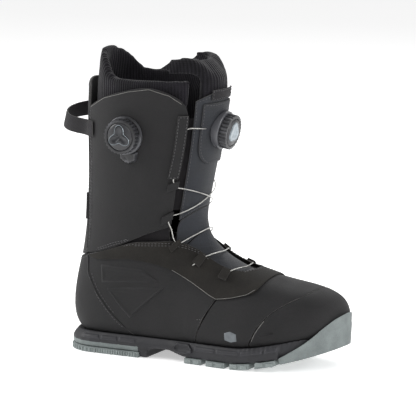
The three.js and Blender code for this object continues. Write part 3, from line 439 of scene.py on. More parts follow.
def mouldedPiece(node, name, slot, body, finish, voxel, passes=4):
    # a moulded piece: its corners melt together as rubber does
    piece = copyOf(node, name)
    finishWith(piece, "REMESH", mode="VOXEL", voxel_size=voxel)
    finishWith(piece, "SMOOTH", factor=0.5, iterations=passes)
    smoothShade(piece)
    dress(piece, slot, body, finish)
    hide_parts(node)
    return piece


def hardPiece(node, name, slot, body, finish, width, degrees=35):
    # a hard piece: its sharp edges are rounded off
    piece = copyOf(node, name)
    limit = math.radians(degrees)
    finishWith(piece, "BEVEL", width=width, segments=2, limit_method="ANGLE", angle_limit=limit)
    smoothShade(piece, degrees)
    dress(piece, slot, body, finish)
    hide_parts(node)
    return piece


def treeOf(*names):
    # one search tree over several finished pieces
    points, faces = [], []
    for name in names:
        data = bpy.data.objects[name].data
        first = len(points)
        points += [v.co.copy() for v in data.vertices]
        faces += [[first + i for i in f.vertices] for f in data.polygons]
    return BVHTree.FromPolygons(points, faces)


def fromSide(tree, x, z, side):
    # the outermost place at x, z, seen from the outer (-1) or the inner (1) side
    place, normal, _, _ = tree.ray_cast(Vector((x, side * 0.2, z)), Vector((0, -side, 0)))
    return place, normal


def meshPiece(name, points, faces, slot, body, finish, degrees=50):
    data = bpy.data.meshes.new(name)
    data.from_pydata([tuple(p) for p in points], [], faces)
    data.update()
    piece = bpy.data.objects.new(name, data)
    scene.collection.objects.link(piece)
    editAll(piece, (bpy.ops.mesh.remove_doubles, {"threshold": 0.01 * mm}),
            (bpy.ops.mesh.normals_make_consistent, {"inside": False}))
    smoothShade(piece, degrees)
    return dress(piece, slot, body, finish)


def slabFaces(columns, rows):
    # faces of a closed slab: two layers of points, each numbered up one column after another
    def spot(layer, i, j):
        return (layer * (columns + 1) + i) * (rows + 1) + j

    faces = []
    for i in range(columns):
        for j in range(rows):
            faces.append([spot(0, i, j), spot(0, i + 1, j), spot(0, i + 1, j + 1), spot(0, i, j + 1)])
            faces.append([spot(1, i, j), spot(1, i, j + 1), spot(1, i + 1, j + 1), spot(1, i + 1, j)])
        faces.append([spot(0, i, 0), spot(1, i, 0), spot(1, i + 1, 0), spot(0, i + 1, 0)])
        faces.append([spot(0, i, rows), spot(0, i + 1, rows), spot(1, i + 1, rows), spot(1, i, rows)])
    for j in range(rows):
        faces.append([spot(0, 0, j), spot(0, 0, j + 1), spot(1, 0, j + 1), spot(1, 0, j)])
        faces.append([spot(0, columns, j), spot(1, columns, j), spot(1, columns, j + 1),
                      spot(0, columns, j + 1)])
    return faces


def ringFaces(first, rings, sides):
    # faces of a closed tube: rings of points from number first, with both ends capped
    faces = []
    for ring in range(rings - 1):
        for k in range(sides):
            a, b = first + ring * sides + k, first + ring * sides + (k + 1) % sides
            faces.append([a, b, b + sides, a + sides])
    faces.append([first + k for k in reversed(range(sides))])
    faces.append([first + (rings - 1) * sides + k for k in range(sides)])
    return faces


def along(points, gap, closed=False):
    # places at even distances on a line through points, which are (place, normal)
    if closed:
        points = points + points[:1]
    reached, places = 0, []
    for (a, na), (b, nb) in zip(points, points[1:]):
        length = (b - a).length
        while length > 0 and reached <= length:
            share = reached / length
            places.append((a.lerp(b, share), na.lerp(nb, share).normalized(), (b - a).normalized()))
            reached += gap
        reached -= length
    return places


def rope(name, line, width, height, sink, slot, body, finish, sides=8):
    # a rounded strip laid along a line of (place, normal, tangent)
    points = []
    for place, normal, tangent in line:
        side = normal.cross(tangent).normalized()
        for k in range(sides):
            turn = 2 * math.pi * k / sides
            aside = side * (math.cos(turn) * width / 2)
            above = normal * ((math.sin(turn) + 1) * height / 2 - sink)
            points.append(place + aside + above)
    return meshPiece(name, points, ringFaces(0, len(line), sides), slot, body, finish)


# ---- shell ----
panels = {
    "toe_cap": ("toeCap", "coatedMicrofibre", "lower"),
    "vamp": ("vampPanel", "coatedMicrofibre", "lower"),
    "quarter_lateral": ("quarterLateral", "coatedMicrofibre", "lower"),
    "quarter_medial": ("quarterMedial", "coatedMicrofibre", "lower"),
    "heel_counter": ("heelCounter", "coatedMicrofibre", "lower"),
    "eyestay_saddle": ("saddlePanel", "brushedNubuck", "lower"),
    "cuff_lateral": ("cuffLateral", "coatedMicrofibre", "cuff"),
    "cuff_medial": ("cuffMedial", "coatedMicrofibre", "cuff"),
    "backstay": ("backCollar", "coatedMicrofibre", "cuff"),
    "tongue_upper": ("tonguePanel", "ripstopNylon", "tongue"),
    "tongue_base": ("tongueFoot", "ripstopNylon", "lower"),
    "tongue_pad": ("tonguePad", "ripstopNylon", "tongue"),
    "label_tab": ("labelTab", "twillWebbing", "tongue"),
    "pull_loop": ("pullLoop", "twillWebbing", "cuff"),
}
slots = {"brushedNubuck": "saddle_leather", "ripstopNylon": "tongue_fabric", "twillWebbing": "webbing"}
for node, (name, finish, body) in panels.items():
    sewnPanel(node, name, slots.get(finish, "shell_leather"), finish, body=body)
for side in ("lateral", "medial"):
    gusset = sewnPanel("ankle_gusset_" + side, "ankleGusset" + side.title(), "tongue_fabric", "linerKnit")
    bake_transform(gusset)
    facing = "facing" + side.title()
    sewnPanel("facing_" + side, facing, "shell_leather", "coatedMicrofibre", body="cuff", levels=1)
throat = sewnPanel("tongue_flex", "tongueFold", "tongue_fabric", "ripstopNylon")
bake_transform(throat)
print("shell panels:", len(panels))

legAxis = -60 * mm  # x of the leg's middle over the heel


def wallAt(tree, degrees, z, inset):
    # a place on the shell at a turn round the leg from the rear, moved in by inset
    for nudge in (0, 0.02, -0.02, 0.04, -0.04):  # past a seam
        turn = math.radians(degrees) + nudge
        out = Vector((-math.cos(turn), math.sin(turn), 0))
        place, _, _, _ = tree.ray_cast(Vector((legAxis, 0, z)) + out * 0.15, -out)
        if place:
            return place - out * inset


heelCloth = {
    "turn": 62,  # degrees round each side of the heel
    "low": 88 * mm,
    "high": 116 * mm,
    "inset": 3.1 * mm,
    "thickness": 0.9 * mm,
    "columns": 44,
    "rows": 6,
}


def addHeelFold():
    # stretch cloth behind the seam between the heel and the cuff
    lowTree = treeOf("heelCounter", "quarterLateral", "quarterMedial")
    highTree = treeOf("backCollar", "cuffLateral", "cuffMedial")
    columns, rows = heelCloth["columns"], heelCloth["rows"]
    points = []
    for layer in (0, 1):
        inset = heelCloth["inset"] + layer * heelCloth["thickness"]
        for i in range(columns + 1):
            turn = heelCloth["turn"] * (2 * i / columns - 1)
            low = wallAt(lowTree, turn, heelCloth["low"], inset)
            high = wallAt(highTree, turn, heelCloth["high"], inset)
            points += [low.lerp(high, j / rows) for j in range(rows + 1)]
    fold = meshPiece("heelFold", points, slabFaces(columns, rows), "tongue_fabric", None, "linerKnit")
    wrapMap(fold, -1)
    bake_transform(fold)


tongueCloth = {
    "near": 158,  # degrees round from the rear, under the tongue's edge
    "far": 124,  # and inside the cuff
    "nearInset": 2.7 * mm,
    "farInset": 4.2 * mm,
    "thickness": 0.4 * mm,
    "low": 152 * mm,
    "high": 246 * mm,
    "crown": 1.5 * mm,  # how far its middle bows out
    "columns": 8,
    "rows": 14,
}


def addTongueFold(word, side):
    # thin cloth from under the tongue's edge to the inside of the cuff
    cloth = tongueCloth
    tongueTree, cuffTree = treeOf("tonguePanel"), treeOf("cuffMedial")
    columns, rows = cloth["columns"], cloth["rows"]
    points = []
    for layer in (0, 1):
        deeper = layer * cloth["thickness"]
        heights = [cloth["low"] + (cloth["high"] - cloth["low"]) * j / rows for j in range(rows + 1)]
        near = [wallAt(tongueTree, cloth["near"], z, cloth["nearInset"] + deeper) for z in heights]
        far = [wallAt(cuffTree, cloth["far"], z, cloth["farInset"] + deeper) for z in heights]
        for i in range(columns + 1):
            bow = cloth["crown"] * math.sin(math.pi * i / columns)
            for j in range(rows + 1):
                place = near[j].lerp(far[j], i / columns)
                place += Vector((place.x - legAxis, place.y, 0)).normalized() * bow
                points.append(Vector((place.x, place.y * side, place.z)))
    faces = slabFaces(columns, rows)
    fold = meshPiece("tongueFold" + word, points, faces, "tongue_fabric", None, "linerKnit")
    wrapMap(fold, 1)
    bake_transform(fold)


# ---- liner ----
linerPads = {
    # node: name, body, voxel, how far the cover may swell, ribs run from the front (1) or from the rear (-1)
    "liner_cuff": ("linerCuff", "cuff", 4 * mm, 2.2 * mm, -1),
    "liner_tongue": ("linerTongue", "tongue", 3.6 * mm, 1.6 * mm, 1),
}
shaftMiddle = -55 * mm


def wrapMap(piece, way):
    # a UV map in metres: round the leg and up
    layer = piece.data.uv_layers.new(name="wrap").data
    for loop in piece.data.loops:
        place = piece.data.vertices[loop.vertex_index].co
        turn = math.atan2(place.y, way * (place.x - shaftMiddle))
        layer[loop.index].uv = (turn * 60 * mm, place.z)


def swell(piece, most):
    # cloth filled from within, and no point further out than the cover gives
    start = [v.co.copy() for v in piece.data.vertices]
    cloth = piece.modifiers.new("Cloth", "CLOTH")
    cloth.settings.use_pressure = True
    cloth.settings.uniform_pressure_force = 4
    cloth.settings.effector_weights.gravity = 0
    cloth.point_cache.frame_end = 20
    for step in range(1, 21):
        scene.frame_set(step)
    filled = piece.evaluated_get(bpy.context.evaluated_depsgraph_get())
    ends = [v.co.copy() for v in filled.data.vertices]
    piece.modifiers.remove(cloth)
    scene.frame_set(1)
    for vertex, old, new in zip(piece.data.vertices, start, ends):
        move = new - old
        vertex.co = old + move * min(1, most / max(move.length, 1e-9))


dome = {
    "foot": 286 * mm,  # above this the liner tongue is reshaped, fully so within its rise
    "rise": 8 * mm,
    "flat": 12 * mm,  # half the width of its middle
    "wing": 16 * mm,
    "rear": -30 * mm,  # behind this the wings sink back
    "lift": 9 * mm,
    "lean": 5 * mm,
    "lump": 1.1 * mm,
    "lumpSize": 190,  # per metre
}


def shareUp(value, start, width):
    # 0 up to start, then evenly up to 1 over the width
    return min(1, max(0, (value - start) / width))


def roundDome(piece):
    # the dome's wings rise level with its middle, and its fleece edge is lumpy
    for vertex in piece.data.vertices:
        place = vertex.co
        high = shareUp(place.z, dome["foot"], dome["rise"])
        wing = shareUp(abs(place.y), dome["flat"], dome["wing"])
        front = 1 - shareUp(-place.x, -dome["rear"], dome["wing"])
        place.z += dome["lift"] * high * wing * front
        place.x -= dome["lean"] * high * (1 - wing)
        out = Vector((place.x - shaftMiddle, place.y, 0.03)).normalized()
        vertex.co = place + out * (dome["lump"] * high * noise.noise(place * dome["lumpSize"]))


for node, (name, body, voxel, most, way) in linerPads.items():
    piece = copyOf(node, name)
    finishWith(piece, "REMESH", mode="VOXEL", voxel_size=voxel)
    finishWith(piece, "SMOOTH", factor=0.5, iterations=3)
    if name == "linerTongue":
        roundDome(piece)
        finishWith(piece, "SMOOTH", factor=0.5, iterations=4)
    swell(piece, most)
    finishWith(piece, "SUBSURF", levels=1, render_levels=1)
    smoothShade(piece)
    wrapMap(piece, way)
    dress(piece, "liner_foam", body, "ribbedPlush")
    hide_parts(node)
bootie = sewnPanel("liner_bootie", "linerBootie", "liner_foam", "linerKnit", rim="linerKnit", body="lower",
                   width=2 * mm)
wrapMap(bootie, -1)
hardPiece("footbed", "footbed", "liner_foam", "lower", "foamCover", 0.5 * mm)
hardPiece("insole_cushion", "insoleCushion", "liner_foam", "lower", "foamCover", 0.4 * mm)
hardPiece("insole_board", "insoleBoard", "board_fibre", "lower", "celluloseBoard", 0.3 * mm)
hardPiece("shank", "shankStrip", "steel_cable", "lower", "springSteel", 0.2 * mm)
addHeelFold()
addTongueFold("Medial", 1)
addTongueFold("Lateral", -1)
print("liner done")


# ---- sole ----
lip = {
    "depth": 9 * mm,  # how far down the cup's wall starts to lean
    "reach": 1.4 * mm,  # how near its top comes to the upper
    "most": 16 * mm,  # further from the upper than this it stays, as on the arch and the tread
    "step": 5 * mm,  # how often the height of its top is taken
}


def leanLip(piece):
    # the top of the cup's wall leans in against the upper
    upperTree = treeOf("toeCap", "vampPanel", "quarterLateral", "quarterMedial", "heelCounter")
    tops = {}
    for vertex in piece.data.vertices:
        key = (round(vertex.co.x / lip["step"]), vertex.co.y > 0)
        tops[key] = max(tops.get(key, 0), vertex.co.z)
    for vertex in piece.data.vertices:
        top = tops[(round(vertex.co.x / lip["step"]), vertex.co.y > 0)]
        share = shareUp(vertex.co.z, top - lip["depth"], lip["depth"])
        near, _, _, gap = upperTree.find_nearest(vertex.co)
        if share > 0 and lip["reach"] < gap < lip["most"]:
            pull = share * share * (gap - lip["reach"]) / gap
            vertex.co.x += (near.x - vertex.co.x) * pull
            vertex.co.y += (near.y - vertex.co.y) * pull


cupSole = mouldedPiece("midsole_rand", "cupSole", "black_rubber", "lower", "mouldedRubber", 1.3 * mm)
leanLip(cupSole)
mouldedPiece("toe_rubber", "toeBumper", "grey_rubber", "lower", "greyOutsole", 0.6 * mm, 8)
mouldedPiece("heel_tread", "heelTread", "grey_rubber", "lower", "greyOutsole", 0.9 * mm)
for i in range(1, 5):
    hardPiece(f"forefoot_lug_{i}", f"forefootLug{i}", "grey_rubber", "lower", "greyOutsole", 0.5 * mm)
print("sole done")

# ---- dials, guides and laces ----
dialFaces = {
    # lengths in mm: the face's middle, its outward axis, its reach, and how deep its lobes are cut
    "side": {
        "centre": (-69, -60.2, 227.5), "axis": (0, -1, 0), "finish": "paintedCap",
        "radius": 12.6, "lobes": 0.24, "rise": 3.4,
    },
    "tongue": {
        "centre": (25.8, 0, 230.2), "axis": (0.98511, 0, -0.171915), "finish": "silverCap",
        "radius": 10.6, "lobes": 0.1, "rise": 3.0,
    },
}
faceRings = ((0, 0), (0, 0.62), (0.35, 0.9), (1.2, 1), (4.2, 1.0), (5.0, 0.86))  # mm in, share of the rise
faceTurns = 72


def lobedOutline(face, inset):
    # the angle and radius of each point round a face of three lobes, one of them upright
    for i in range(faceTurns):
        angle = 2 * math.pi * i / faceTurns
        lobe = math.cos(3 * (angle - math.pi / 2)) - 1
        yield angle, (face["radius"] * (1 + face["lobes"] * lobe) - inset) * mm


def addDialFace(dial):
    # a raised three-lobed face on the dial's cap, with a thin pale line round it
    face = dialFaces[dial]
    axis = Vector(face["axis"]).normalized()
    up = (Vector((0, 0, 1)) - axis * axis.z).normalized()
    right = up.cross(axis)
    centre = Vector(face["centre"]) * mm

    def outline(inset, share):
        middle = centre + axis * (face["rise"] * share * mm)
        return [middle + (right * math.cos(a) + up * math.sin(a)) * r for a, r in lobedOutline(face, inset)]

    points = [place for inset, share in faceRings for place in outline(inset, share)]
    faces = ringFaces(0, len(faceRings), faceTurns)
    grip = dial + "_dial_grip"
    meshPiece(dial + "DialFace", points, faces, "cap_plastic", grip, face["finish"])
    line = outline(0.5, 0.93)
    line += line[:2]
    path = [(p, axis, (q - p).normalized()) for p, q in zip(line, line[1:])]
    rope(dial + "DialRim", path, 0.5 * mm, 0.5 * mm, 0.2 * mm, "cap_plastic", grip, "silverCap", 6)


for dial, holder in {"side": "cuff", "tongue": "tongue"}.items():
    part, grip = dial + "_dial_", dial + "_dial_grip"
    hardPiece(part + "base", dial + "DialBase", "dial_plastic", holder, "mouldedNylon", 0.5 * mm)
    hardPiece(part + "knob", dial + "DialGrip", "dial_plastic", grip, "mouldedNylon", 0.3 * mm)
    hardPiece(part + "cap", dial + "DialCap", "cap_plastic", grip, "mouldedNylon", 0.4 * mm)
    addDialFace(dial)
    hardPiece(part + "pawl_ring", dial + "PawlRing", "steel_cable", grip, "springSteel", 0.1 * mm)
    hardPiece(part + "spool", dial + "Spool", "dial_plastic", part + "reel", "mouldedNylon", 0.2 * mm)
    hardPiece(part + "axle", dial + "Axle", "steel_cable", part + "stem", "springSteel", 0.2 * mm)
for node in frame["nodes"]:
    if "_guide_" in node:
        rider = frame["nodes"][node]["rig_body"]
        first, _, side = node.split("_")
        cover = "coatedMicrofibre" if rider == "cuff" else "brushedNubuck"
        mouldedPiece(node, first + "Guide" + side.title(), "webbing", rider, cover, 0.5 * mm, 8)
laces = {
    # dial: bodies that its lace runs between, and where the blend starts and ends
    "upper": ("cuff", "tongue", (-0.012, 0, 0.2), (0.008, 0, 0.2)),
    "lower": ("lower", "cuff", (0, 0, 0.12), (0, 0, 0.15)),
}
for which, (one, other, start, end) in laces.items():
    lace = copyOf(which + "_lace", which + "Lace")
    smoothShade(lace)
    dress(lace, "steel_cable", None, "coatedCable")
    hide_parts(which + "_lace")
    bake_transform(lace)
print("laces done")


# ---- details laid on the finished pieces ----
def raisedPatch(name, tree, side, upper, lower, height, slot, body, finish,
                edgeWidth=1.6 * mm, dip=0, cell=1.3 * mm):
    # a raised patch between two side view lines: rounded down at its edge, and lower in its middle
    def at(line, share):
        spot = share * (len(line) - 1)
        i = min(int(spot), len(line) - 2)
        return Vector(line[i]).lerp(Vector(line[i + 1]), spot - i) * mm

    reach = max((at(upper, i / 8) - at(upper, (i + 1) / 8)).length * 8 for i in range(8))
    tall = max((at(upper, i / 8) - at(lower, i / 8)).length for i in range(9))
    columns, rows = max(4, int(reach / cell)), max(3, int(tall / cell))
    points = []
    for layer in (1, 0):
        for i in range(columns + 1):
            top, bottom = at(upper, i / columns), at(lower, i / columns)
            ends = min(i, columns - i) / columns * reach
            for j in range(rows + 1):
                spot = bottom.lerp(top, j / rows)
                inside = min(ends, min(j, rows - j) / rows * (top - bottom).length)
                rise = min(1, inside / edgeWidth)
                rise = rise * rise * (3 - 2 * rise)
                sunk = dip * shareUp(inside, 2 * edgeWidth, edgeWidth)
                place, normal = fromSide(tree, spot.x, spot.y, side)
                lift = height * (rise - sunk) - 0.15 * mm if layer else -0.6 * mm
                points.append(place + normal * lift)
    return meshPiece(name, points, slabFaces(columns, rows), slot, body, finish)


def shellAxis(place):
    # a place well inside the boot: level with this one in the shaft, and beside it in the foot
    if place.z > 120 * mm:
        return Vector((shaftMiddle, 0, place.z))
    return Vector((min(max(place.x, -100 * mm), 100 * mm), 0, 60 * mm))


def outlines(piece):
    # the closed edges of the outer face, as (place, normal, way in)
    work = bmesh.new()
    work.from_mesh(piece.data)
    follow = {}
    for edge in work.edges:
        kinds = [f.material_index for f in edge.link_faces]
        if sorted(kinds) != [0, 1]:
            continue
        face = edge.link_faces[kinds.index(0)]
        middle = (edge.verts[0].co + edge.verts[1].co) / 2
        if face.normal.dot(middle - shellAxis(middle)) > 0:
            for vertex in edge.verts:
                follow.setdefault(vertex, []).append((edge, face))
    loops, used = [], set()
    for start in follow:
        if start in used or len(follow[start]) != 2:
            continue
        loop, vertex = [], start
        while vertex not in used:
            used.add(vertex)
            face = follow[vertex][0][1]
            inward = sum((f.calc_center_median() - vertex.co for _, f in follow[vertex]), Vector())
            loop.append((vertex.co.copy(), face.normal.copy(), inward.normalized()))
            ahead = [e.other_vert(vertex) for e, _ in follow[vertex]]
            ahead = [v for v in ahead if v not in used and v in follow and len(follow[v]) == 2]
            if not ahead:
                break
            vertex = ahead[0]
        if len(loop) > 12:
            loops.append(loop)
    work.free()
    return loops


stitch = {
    "gap": 3.4 * mm,
    "length": 2.3 * mm,
    "radius": 0.33 * mm,
    "proud": 0.35,  # how far its middle stands over the face, in radii
    "rings": ((-0.5, 0.25), (-0.28, 1), (0.28, 1), (0.5, 0.25)),  # share of its length, share of its radius
    "sides": 5,
    "hiddenWithin": 8 * mm,  # a stitch is left out where another piece lies this near over it
}


def rowInside(loop, tree, inset):
    # the loop moved in over the face, evened out
    places = []
    for place, normal, inward in loop:
        found, normal, _, _ = tree.find_nearest(place + inward * inset)
        places.append((found, normal))
    count = len(places)
    for _ in range(6):
        middle = [(places[i - 1][0] + places[i][0] + places[(i + 1) % count][0]) / 3 for i in range(count)]
        places = [(m, n) for m, (_, n) in zip(middle, places)]
    return [tree.find_nearest(m)[:2] for m, _ in places]


def stitchRows(panel, insets, hiders, body):
    tree = treeOf(panel)
    points, faces = [], []
    for loop in outlines(bpy.data.objects[panel]):
        for inset in insets:
            for place, normal, tangent in along(rowInside(loop, tree, inset), stitch["gap"], True):
                hidden = hiders.ray_cast(place + normal * 0.9 * mm, normal, stitch["hiddenWithin"])[0]
                if hidden or normal.dot(place - shellAxis(place)) < 0:
                    continue
                side = normal.cross(tangent)
                first = len(points)
                for share, thick in stitch["rings"]:
                    middle = place + tangent * (share * stitch["length"])
                    for k in range(stitch["sides"]):
                        turn = 2 * math.pi * k / stitch["sides"]
                        offset = side * math.cos(turn) + normal * (math.sin(turn) + stitch["proud"])
                        points.append(middle + offset * (stitch["radius"] * thick))
                faces += ringFaces(first, len(stitch["rings"]), stitch["sides"])
    meshPiece(panel + "Stitches", points, faces, "tongue_fabric", body, "sewingThread")
    print(panel, len(points) // (len(stitch["rings"]) * stitch["sides"]), "stitches")


outer = [name for name, _, _ in panels.values()]
outer += ["facingLateral", "facingMedial", "cupSole", "toeBumper", "sideDialBase", "tongueDialBase"]
sewing = {
    # panel: rows in from its edge, in mm
    "saddlePanel": (1.9, 4.4),
    "cuffLateral": (2.2, 4.8),
    "cuffMedial": (2.2, 4.8),
    "quarterLateral": (2.4,),
    "quarterMedial": (2.4,),
    "heelCounter": (2.4,),
    "backCollar": (2.6,),
    "tonguePad": (1.8,),
    "labelTab": (1.3,),
    "facingLateral": (1.5,),
    "facingMedial": (1.5,),
    "tonguePanel": (2.2,),
}
for name, insets in sewing.items():
    hiders = treeOf(*[n for n in outer if n != name])
    body = next((b for n, _, b in panels.values() if n == name), "cuff")
    stitchRows(name, [i * mm for i in insets], hiders, body)
print("stitches done")

# piping down the back and heel seams, with a webbing tab over the ankle: side view lines in mm
backLine = [(-120.6, 247), (-120.8, 220), (-121.6, 185), (-122.5, 140), (-120.6, 104)]
heelLine = [(-118.3, 99), (-117.4, 82), (-106.4, 62), (-93.4, 45), (-76.4, 29), (-64, 18.5)]


def sideLine(tree, line, side, gap):
    # a side view line laid on the pieces, with even gaps
    spots = [fromSide(tree, x * mm, z * mm, side) for x, z in line]
    fine = along([(p, n) for p, n in spots if p], gap)
    places = []
    for place, _, tangent in fine:
        found, normal = fromSide(tree, place.x, place.z, side)
        if found:
            places.append((found, normal, tangent))
    return places


pressed = {
    # heat-pressed shapes on the quarter: upper and lower side view lines in mm
    "pressedWing": ([(-101, 93), (-78, 92), (-54, 91), (-38, 82)],
                    [(-100, 74), (-78, 76), (-58, 77.5), (-37, 79)]),
    "pressedPoint": ([(-94, 69.5), (-78, 71), (-62, 72.5), (-30, 75)],
                     [(-93.5, 67), (-80, 51), (-69, 40), (-31, 73)]),
}

pipe = {"width": 1.9 * mm, "height": 1.5 * mm, "sink": 0.5 * mm}
for side, word in ((-1, "Lateral"), (1, "Medial")):
    shaft = treeOf("cuff" + word, "backCollar")
    foot = treeOf("quarter" + word, "heelCounter")
    for name, tree, line, body in (("back", shaft, backLine, "cuff"), ("heel", foot, heelLine, "lower")):
        path = sideLine(tree, line, side, 3 * mm)
        rope(name + "Piping" + word, path, *pipe.values(), "webbing", body, "blackPiping")
    tab = sideLine(shaft, [(-122.4, 162), (-122.6, 133)], side, 3 * mm)
    rope("backTab" + word, tab, 5.5 * mm, 1.8 * mm, 0.6 * mm, "webbing", "cuff", "twillWebbing")
    for name, (upper, lower) in pressed.items():
        raisedPatch(name + word, foot, side, upper, lower, 1.1 * mm,
                    "shell_leather", "lower", "coatedMicrofibre", dip=0.45)
# pale lines along the cuff top, the toe seam and the saddle's low edge: painted highlights on these edges
paleLines = {
    # name: piece it lies on, body, side view line in mm
    "cuffTopLine": (
        "cuff", "cuff",
        [(-117, 250.5), (-96, 262.6), (-66, 271.4), (-42, 275.4), (-21, 269.6), (-8.6, 261)],
    ),
    "toeSeamLine": (
        "toeCap", "lower",
        [(119.4, 77), (108.6, 71.4), (96, 63.4), (84, 51.4), (75, 38.4), (70.5, 29)],
    ),
    "saddleLowLine": (
        "saddlePanel", "lower",
        [(68, 79.5), (61.5, 75), (46, 71), (30, 68.8), (21.4, 72), (-0.6, 83), (-22.6, 93)],
    ),
}
for side, word in ((-1, "Lateral"), (1, "Medial")):
    for name, (part, body, line) in paleLines.items():
        path = sideLine(treeOf(part + word if part == "cuff" else part), line, side, 2.5 * mm)
        rope(name + word, path, 0.55 * mm, 0.4 * mm, 0.15 * mm, "tongue_fabric", body, "paleHighlightLine", 6)
raisedPatch("laceExit", treeOf("cuffLateral"), -1,
            [(-75, 212), (-66, 213.5), (-55, 211)], [(-73, 203), (-66, 198.5), (-57, 202)],
            4.2 * mm, "dial_plastic", "cuff", "mouldedNylon")
raisedPatch("toeBadge", treeOf("vampPanel"), -1,
            [(41, 36), (48, 38.5), (55, 36)], [(41, 28.5), (48, 26.5), (55, 28.5)],
            0.45 * mm, "cap_plastic", "lower", "greyBadge", edgeWidth=0.5 * mm, cell=0.7 * mm)
print("seams and patches done")

# the cup sole's lip in steps, with a window at the arch
rand = treeOf("cupSole")
lipSteps = [(-125, -106), (-104, -85), (-83, -64), (6, 30), (32, 58), (60, 84),
            (86, 99)]  # from and to x, mm
toeSpring = {"start": 50, "length": 97, "rise": 22, "power": 1.5}  # the sole curves up towards the toe, mm


def springAt(x):
    share = max(0, (x - toeSpring["start"]) / toeSpring["length"])
    return toeSpring["rise"] * share ** toeSpring["power"]


for side, word in ((-1, "Lateral"), (1, "Medial")):
    for i, (start, end) in enumerate(lipSteps, 1):
        line = [(x, 18.8 + springAt(x)) for x in (start, (start + end) / 2, end)]
        raisedPatch(f"lipStep{word}{i}", rand, side, line, [(x, z - 4.6) for x, z in line], 1.0 * mm,
                    "black_rubber", "lower", "mouldedRubber", edgeWidth=0.9 * mm, cell=1.0 * mm)
    raisedPatch("archWindow" + word, rand, side,
                [(-17, 18), (-14, 20), (-1, 20), (3, 16)], [(-18, 12), (-13, 9.5), (-2, 9.5), (4, 11)],
                2.2 * mm,
                "black_rubber", "lower", "mouldedRubber", edgeWidth=1.2 * mm, dip=0.8, cell=0.8 * mm)


studKinds = {
    "tooth": {"width": 1.7 * mm, "height": 4.6 * mm, "depth": 0.9 * mm},
    "nub": {"width": 7 * mm, "height": 3.6 * mm, "depth": 1.1 * mm},
}


def studs(name, tree, spots, kind):
    # small rubber blocks on a side face: each spot is the origin and direction of a ray onto it
    width, height, depth = studKinds[kind].values()
    points, faces = [], []
    for origin, direction in spots:
        place, normal, _, _ = tree.ray_cast(origin, direction)
        if place is None:
            continue
        out = Vector((normal.x, normal.y, 0)).normalized()
        side, up = Vector((-out.y, out.x, 0)), Vector((0, 0, 1))
        faces += ringFaces(len(points), 3, 4)
        for far, shrink in ((-1.0 * mm, 1), (depth * 0.7, 1), (depth, 0.7)):
            for a, b in ((-1, -1), (1, -1), (1, 1), (-1, 1)):
                corner = side * (a * shrink * width / 2) + up * (b * shrink * height / 2)
                points.append(place + out * far + corner)
    meshPiece(name, points, faces, "grey_rubber", "lower", "greyOutsole", degrees=35)


def sideRays(places, z):
    # rays in from both sides of the boot
    return [(Vector((x, side * 0.1, z)), Vector((0, -side, 0))) for side in (-1, 1) for x in places]


heelRound = Vector((-111.5, 0, 2.6)) * mm  # middle of the heel tread's round end, level with its teeth
teeth = sideRays([(-64 - 2.9 * i) * mm for i in range(17)], heelRound.z)
for i in range(1, 24):
    turn = math.pi * i / 24
    out = Vector((-math.sin(turn), math.cos(turn), 0))
    teeth.append((heelRound + out * 0.1, -out))
studs("heelTeeth", treeOf("heelTread"), teeth, "tooth")
for i, (start, end) in enumerate(((-6, 14), (20, 42), (48, 70), (76, 97)), 1):
    places = [(start + (end - start) * share) * mm for share in (0.24, 0.74)]
    rays = sideRays(places, (3 + springAt((start + end) / 2)) * mm)
    studs(f"lugNubs{i}", treeOf(f"forefootLug{i}"), rays, "nub")

# the cup sole's foot is grey under the heel
greyBand = {"top": 11.4 * mm, "front": -60 * mm}
cupSole.data.materials.append(finishes["greyOutsole"])
for polygon in cupSole.data.polygons:
    if polygon.center.z < greyBand["top"] and polygon.center.x < greyBand["front"]:
        polygon.material_index = 1
print("sole details done")


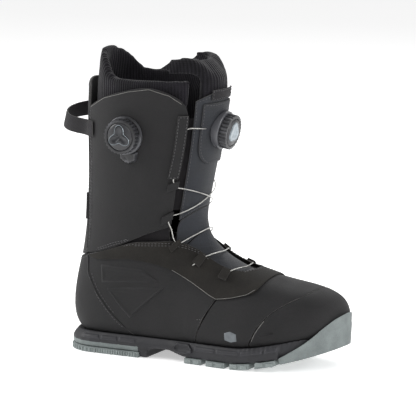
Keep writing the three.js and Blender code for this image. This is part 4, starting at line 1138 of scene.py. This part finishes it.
# ---- studio ----
studio = {
    "floor": "ffffff",
    "floorGlow": 0.45,
    "world": 0.42,
    "dome": 1.0,  # how bright the white room looks behind the boot
    "domeRadius": 9,
    "lampAim": 140 * mm,  # height that the lamps point at
    "lamps": [
        # name, place, size, watts
        ("leftSoftbox", (-1.5, -0.5, 0.9), 0.8, 16),
        ("frontSoftbox", (0.7, -1.6, 1.5), 1.0, 11),
        ("rightSoftbox", (1.7, 0.1, 0.7), 0.8, 13),
        ("backSoftbox", (-0.3, 1.4, 1.3), 1.0, 12),
    ],
}


def glowing(name, strength):
    material = bpy.data.materials.new(name)
    material.use_nodes = True
    tree = material.node_tree
    tree.nodes.remove(tree.nodes["Principled BSDF"])
    glow = addNode(tree, "ShaderNodeEmission", {"Color": (1, 1, 1, 1), "Strength": strength})
    tree.links.new(glow.outputs[0], tree.nodes["Material Output"].inputs["Surface"])
    return material


def addFloor():
    bpy.ops.mesh.primitive_plane_add(size=16, location=(0, 0, 0))
    floor = bpy.context.object
    floor.name = "floor"
    paint = bpy.data.materials.new("matteWhiteFloor")
    paint.use_nodes = True
    shader = paint.node_tree.nodes["Principled BSDF"]
    shader.inputs["Base Color"].default_value = linearColour(studio["floor"])
    shader.inputs["Roughness"].default_value = 0.9
    shader.inputs["Specular IOR Level"].default_value = 0.1
    shader.inputs["Emission Color"].default_value = (1, 1, 1, 1)
    shader.inputs["Emission Strength"].default_value = studio["floorGlow"]
    floor.data.materials.append(paint)


def addRoom():
    # a white dome that only the camera sees
    radius = studio["domeRadius"]
    bpy.ops.mesh.primitive_uv_sphere_add(segments=48, ring_count=24, radius=radius, location=(0, 0, 0))
    room = bpy.context.object
    room.name = "roomDome"
    room.data.materials.append(glowing("whiteRoomWall", studio["dome"]))
    room.visible_diffuse = False
    room.visible_glossy = False
    room.visible_shadow = False
    room.visible_transmission = False
    world = bpy.data.worlds.new("whiteRoom")
    world.use_nodes = True
    world.node_tree.nodes["Background"].inputs["Color"].default_value = (1, 1, 1, 1)
    world.node_tree.nodes["Background"].inputs["Strength"].default_value = studio["world"]
    scene.world = world


def addLamps():
    for name, place, size, watts in studio["lamps"]:
        bpy.ops.object.light_add(type="AREA", location=place)
        lamp = bpy.context.object
        lamp.name = name
        lamp.data.size = size
        lamp.data.energy = watts
        aim = Vector((0, 0, studio["lampAim"])) - Vector(place)
        lamp.rotation_euler = aim.to_track_quat("-Z", "Y").to_euler()


addFloor()
addRoom()
addLamps()
scene.view_settings.view_transform = "Standard"
print("studio done")
